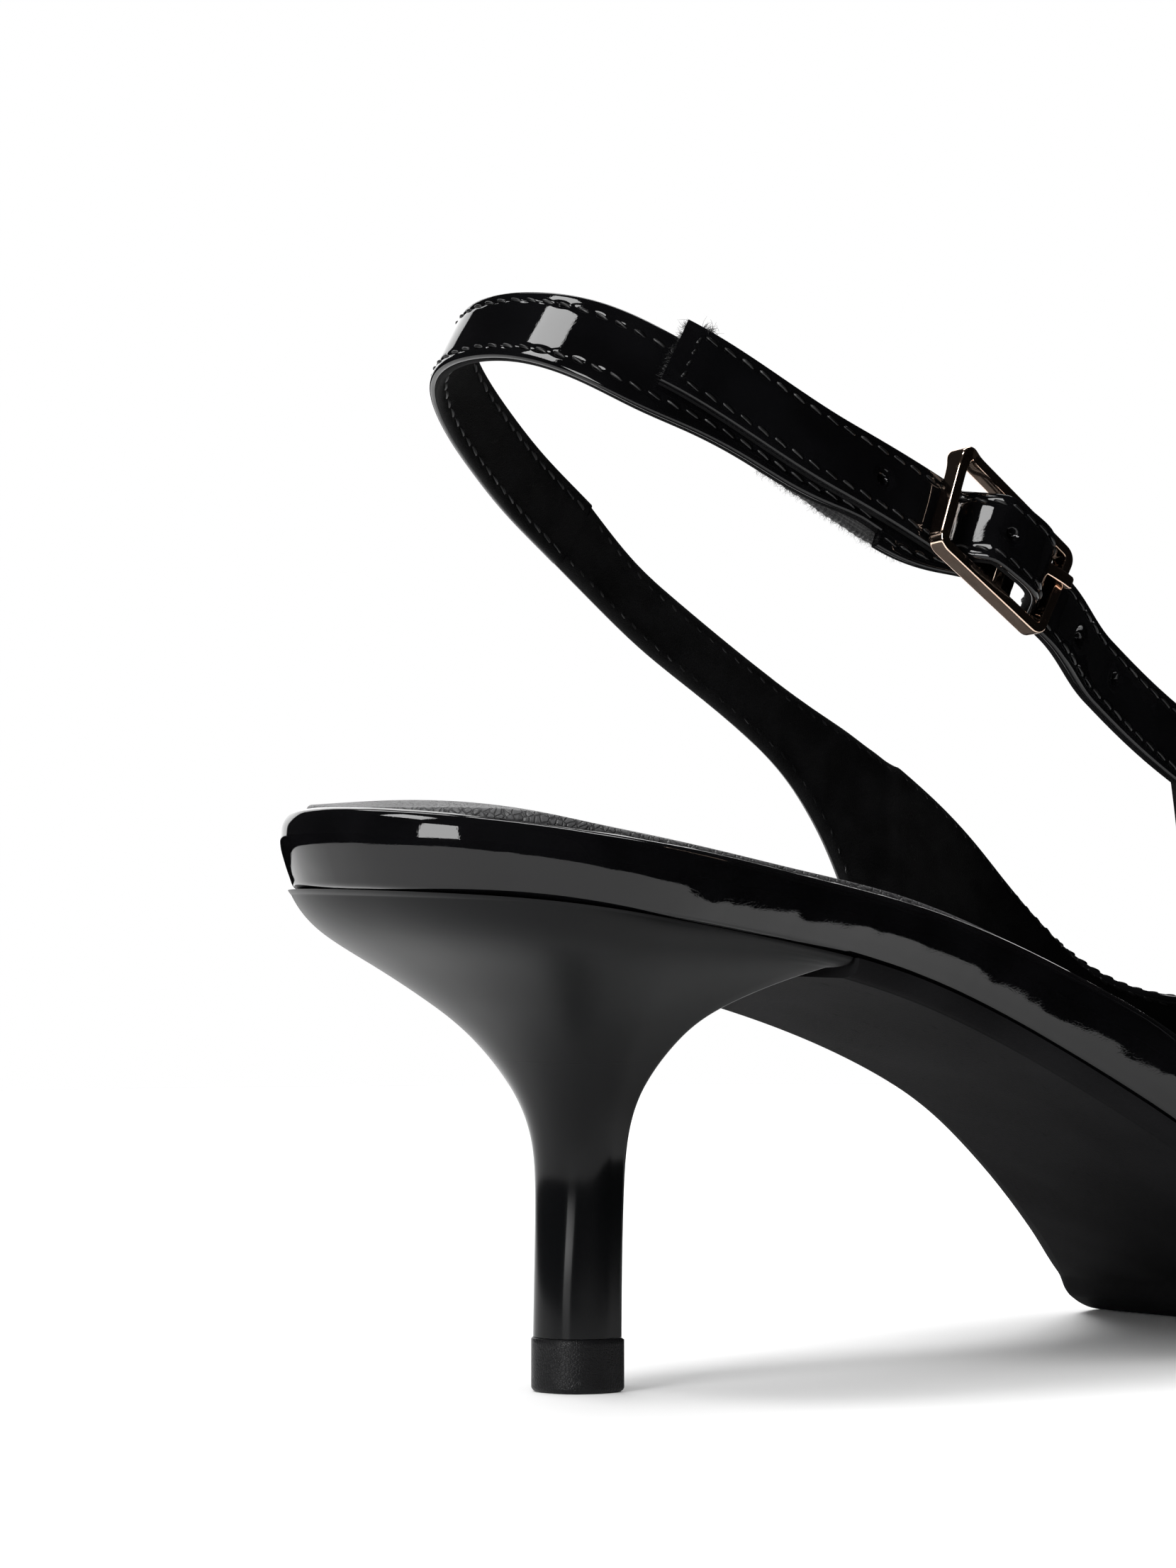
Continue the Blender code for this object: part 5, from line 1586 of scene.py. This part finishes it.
class PUMP_OT_buckle_frame(bpy.types.Operator):
    """Make the polished frame and its centre bar: a soft-edged bar carried round a rectangle."""

    bl_idname = "pump.buckle_frame"
    bl_label = "Buckle frame"

    def execute(self, context):
        buckle = looks()[2]
        at, t, w, n = buckle_plane()
        rise = STRAP_THICK + LAP + STRAP_THICK / 2 + LAP + buckle.depth / 2
        corners = np.array(FRAME_CORNERS) * (buckle.length, buckle.width)
        xy = self.outline(corners)
        d = unit(np.roll(xy, -1, axis=0) - np.roll(xy, 1, axis=0))
        out2 = np.column_stack([d[:, 1], -d[:, 0]])
        path = at + n * rise + t * xy[:, :1] + w * xy[:, 1:]
        across = t * out2[:, :1] + w * out2[:, 1:]
        out = np.broadcast_to(n, path.shape)
        knob = np.exp(-(np.linalg.norm(xy - corners[0], axis=1) / KNOB_REACH) ** 2)
        section = bar_section(buckle.bar, buckle.depth, 7, 48)
        verts, faces = swept(path, across, out, section, 1 + KNOB * knob, True)
        y = np.concatenate([[-1.0, -1.0], np.linspace(-1, 1, 30), [1.0, 1.0]]) * 0.42 * buckle.width
        middle_bar = at + n * rise + w * y[:, None]
        size = np.concatenate([[0.0, 0.9], np.ones(30), [0.9, 0.0]])
        section = bar_section(buckle.bar, buckle.depth * 0.85, 4, 32)
        sides = (np.broadcast_to(way, middle_bar.shape) for way in (t, n))
        bar_verts, bar_faces = swept(middle_bar, *sides, section, size)
        piece = make("frame_polished", np.concatenate([verts, bar_verts]),
                     np.concatenate([faces, bar_faces + len(verts)]), [rose_metal()])
        place(piece, "rose_gold_metal", "buckle_frame")
        return {"FINISHED"}

    def outline(self, corners):
        """Closed line through the bars: straight runs, with a parabola at each corner."""
        q = np.linspace(0, 1, 13)[:, None]
        rounded = []
        for k, here in enumerate(corners):
            a = here + unit(corners[k - 1] - here) * CORNER_ROUND
            b = here + unit(corners[(k + 1) % 4] - here) * CORNER_ROUND
            rounded.append((1 - q) ** 2 * a + 2 * q * (1 - q) * here + q * q * b)
        ring = []
        for k in range(4):
            a, b = rounded[k][-1], rounded[(k + 1) % 4][0]
            ring += [rounded[k], a + (b - a) * np.linspace(0, 1, 26)[1:-1, None]]
        return np.concatenate(ring)


class PUMP_OT_prong(bpy.types.Operator):
    """Make the prong: a flat square-ended bar along a spline from the centre bar over the front bar."""

    bl_idname = "pump.prong"
    bl_label = "Prong"

    def execute(self, context):
        buckle = looks()[2]
        at, t, w, n = buckle_plane(False)
        over = STRAP_THICK / 2 + LAP
        top = over + buckle.depth + CLEAR + PRONG_THICK / 2
        rows = np.array((
            (FRAME_BAR / 2 + CLEAR, top - PRONG_DIP, 0),
            (0.2 * FRAME_LENGTH, top - 0.57 * PRONG_DIP, 0),
            (FRAME_LENGTH / 2 - 0.0017, top, 0), (PRONG_REACH, top, 0),
        ))
        u = np.linspace(0, 1, 60)
        flat = curve(u, rows)
        base = at + n * (STRAP_THICK + LAP) + w * PRONG_UP
        path = base + t * flat[:, :1] + n * flat[:, 1:2]
        along = unit(np.gradient(path, axis=0))
        side = np.broadcast_to(w, path.shape)
        out = np.cross(along, side)
        size = np.concatenate([[0.0, 0.92], np.ones(56), [0.94, 0.86]])
        section = bar_section(PRONG_WIDTH, PRONG_THICK, 6, 40)
        verts, faces = swept(path, side, out, section, size)
        end = len(verts) - 40 + np.arange(40)
        piece = make("prong_polished", verts, faces, [rose_metal()], None, [end])
        place(piece, "rose_gold_metal", "buckle_prong")
        return {"FINISHED"}


class PUMP_OT_stage(bpy.types.Operator):
    """Set the table, the paper behind the shoe, the black cloths, the lights and the camera."""

    bl_idname = "pump.stage"
    bl_label = "Stage"

    def execute(self, context):
        stage = context.scene.pump_stage
        self.table(stage.floor)
        self.cloth()
        self.backdrop(stage.backdrop)
        self.flag()
        self.world(context.scene)
        lamps = {row[0]: self.softbox(*row[:-1], getattr(stage, row[-1])) for row in SOFTBOXES}
        lamps["overhead fill"].visible_glossy = False
        self.camera(context.scene, stage.lens)
        context.scene.view_settings.view_transform = "Standard"
        return {"FINISHED"}

    def sheet(self, name, verts, faces, material):
        """A stage piece from arrays of vertices and faces."""
        mesh = bpy.data.meshes.new(name)
        mesh.from_pydata(verts.reshape(-1, 3).tolist(), [], faces)
        mesh.materials.append(material)
        piece = linked(name, mesh)
        return piece

    def table(self, colour):
        """A round white table top of faintly uneven tone."""
        material, tree, shader = plain_material("Floor paper", Roughness=0.9, Specular_IOR_Level=0.1)
        at = tree.nodes.new("ShaderNodeTexCoord").outputs["Object"]
        noise = add(tree, "ShaderNodeTexNoise", at, Scale=3.0, Detail=2.0)
        tones = two_tones(tree, noise.outputs["Fac"], np.array(colour) * 0.985, colour)
        set_inputs(shader, {"Base Color": tones})
        a = np.linspace(0, 2 * np.pi, 97)[:-1]
        x, y = TABLE_AT + TABLE_RADIUS * np.cos(a), TABLE_RADIUS * np.sin(a)
        self.sheet("floor", np.column_stack([x, y, np.zeros(96)]), [tuple(range(96))], material)

    def reflected_only(self, name, verts, faces):
        """Black cloth that only shows in reflections."""
        material = bpy.data.materials.get("Black cloth") or plain_material(
            "Black cloth", Base_Color=(0.002, 0.002, 0.002, 1), Roughness=1.0,
            Specular_IOR_Level=0.0)[0]
        piece = self.sheet(name, verts, faces, material)
        piece.visible_camera = False
        piece.visible_diffuse = False
        piece.visible_shadow = False

    def cloth(self):
        """Black cloth laid round the shoe: a ring from a table of distances to a wide circle."""
        angles, edge = np.array(CLOTH).T
        a = np.linspace(-np.pi, np.pi, 121)
        r = np.interp(a, np.radians(angles), edge)[:, None] * (1, 0) + CLOTH_RADIUS * np.array([0, 1])
        x, y = CLOTH_AT + r * np.cos(a)[:, None], r * np.sin(a)[:, None]
        verts = np.stack([x, y, np.full(x.shape, CLOTH_HEIGHT)], -1)
        self.reflected_only("cloth", verts, grid_faces(121, 2).tolist())

    def upright(self, start, end, count, radius, centre, low, high):
        """Vertices and faces of an upright arc: x and y on a circle, z straight up."""
        a = np.radians(np.linspace(start, end, count))[:, None] * np.ones(2)
        x, y = centre + radius * np.cos(a), radius * np.sin(a)
        verts = np.stack([x, y, np.broadcast_to([low, high], x.shape)], -1)
        return verts, grid_faces(count, 2).tolist()

    def backdrop(self, brightness):
        """Arc of glowing white paper behind the shoe."""
        material, _, _ = plain_material(
            "Backdrop paper", Base_Color=(1, 1, 1, 1), Roughness=1.0,
            Emission_Color=(1, 1, 1, 1), Emission_Strength=brightness)
        paper = self.sheet("backdrop", *self.upright(*UPRIGHTS["backdrop"]), material)
        paper.visible_camera = False

    def flag(self):
        """Black cloth standing in an arc at the camera's right."""
        self.reflected_only("flag", *self.upright(*UPRIGHTS["flag"]))

    def world(self, scene):
        """White to the camera, a dim studio to everything else."""
        world = bpy.data.worlds.new("studio")
        world.use_nodes = True
        scene.world = world
        tree = world.node_tree
        seen = set_inputs(tree.nodes["Background"], {"Color": (1, 1, 1, 1)})
        dim = add(tree, "ShaderNodeBackground", Strength=STUDIO_LIGHT)
        path = tree.nodes.new("ShaderNodeLightPath")
        mix = add(tree, "ShaderNodeMixShader", path.outputs["Is Camera Ray"],
                  dim.outputs["Background"], seen.outputs["Background"])
        set_inputs(tree.nodes["World Output"], {"Surface": mix.outputs["Shader"]})

    def facing(self, thing, at, to):
        """Put a lamp or the camera at a point, facing another."""
        aim = (Vector(to) - Vector(at)).to_track_quat("-Z", "Y")
        thing.matrix_world = Matrix.Translation(at) @ aim.to_matrix().to_4x4()

    def softbox(self, name, at, to, wide, tall, power):
        """A rectangular area light that isn't seen by the camera."""
        light = bpy.data.lights.new(name, "AREA")
        light.shape = "RECTANGLE"
        light.size, light.size_y = wide, tall
        light.energy = power
        lamp = linked(name, light)
        self.facing(lamp, at, to)
        lamp.visible_camera = False
        return lamp

    def camera(self, scene, lens):
        """The photograph's viewing angle and framing."""
        camera = bpy.data.cameras.new("camera")
        camera.sensor_fit = "VERTICAL"
        camera.sensor_height = 36.0
        camera.lens = lens
        camera.clip_start = 0.01
        camera.clip_end = 50.0
        scene.camera = linked("camera", camera)
        self.facing(scene.camera, CAMERA_AT, CAMERA_LOOKS)


PIECES = (
    PUMP_OT_stage, PUMP_OT_outsole, PUMP_OT_heel, PUMP_OT_top_piece, PUMP_OT_footbed, PUMP_OT_sock,
    PUMP_OT_upper, PUMP_OT_sling, PUMP_OT_buckle_strap, PUMP_OT_tab, PUMP_OT_elastic,
    PUMP_OT_buckle_frame, PUMP_OT_prong,
)


class PUMP_PT_panel(bpy.types.Panel):
    """Sidebar panel with the pump's pieces and settings."""

    bl_idname = "PUMP_PT_panel"
    bl_label = "Pump"
    bl_space_type = "VIEW_3D"
    bl_region_type = "UI"
    bl_category = "Pump"

    def draw(self, context):
        for piece in PIECES:
            self.layout.operator(piece.bl_idname)
        for name in SETTINGS:
            box = self.layout.box()
            settings = getattr(context.scene, name)
            for key in settings.__annotations__:
                box.prop(settings, key)


SETTINGS = {
    "pump_leather": PumpLeather, "pump_stitch": PumpStitch, "pump_buckle": PumpBuckle,
    "pump_sole": PumpSole, "pump_stage": PumpStage,
}


def register():
    """Register the settings, the operators and the panel."""
    for cls in (*SETTINGS.values(), *PIECES, PUMP_PT_panel):
        bpy.utils.register_class(cls)
    for name, cls in SETTINGS.items():
        setattr(bpy.types.Scene, name, bpy.props.PointerProperty(type=cls))


def unregister():
    """Take them all away again."""
    for name in SETTINGS:
        delattr(bpy.types.Scene, name)
    for cls in (PUMP_PT_panel, *PIECES[::-1], *SETTINGS.values()):
        bpy.utils.unregister_class(cls)


def main():
    """Make every piece and the stage."""
    register()
    for piece in PIECES:
        _, action = piece.bl_idname.split(".")
        getattr(bpy.ops.pump, action)()


if __name__ == "__main__":
    main()
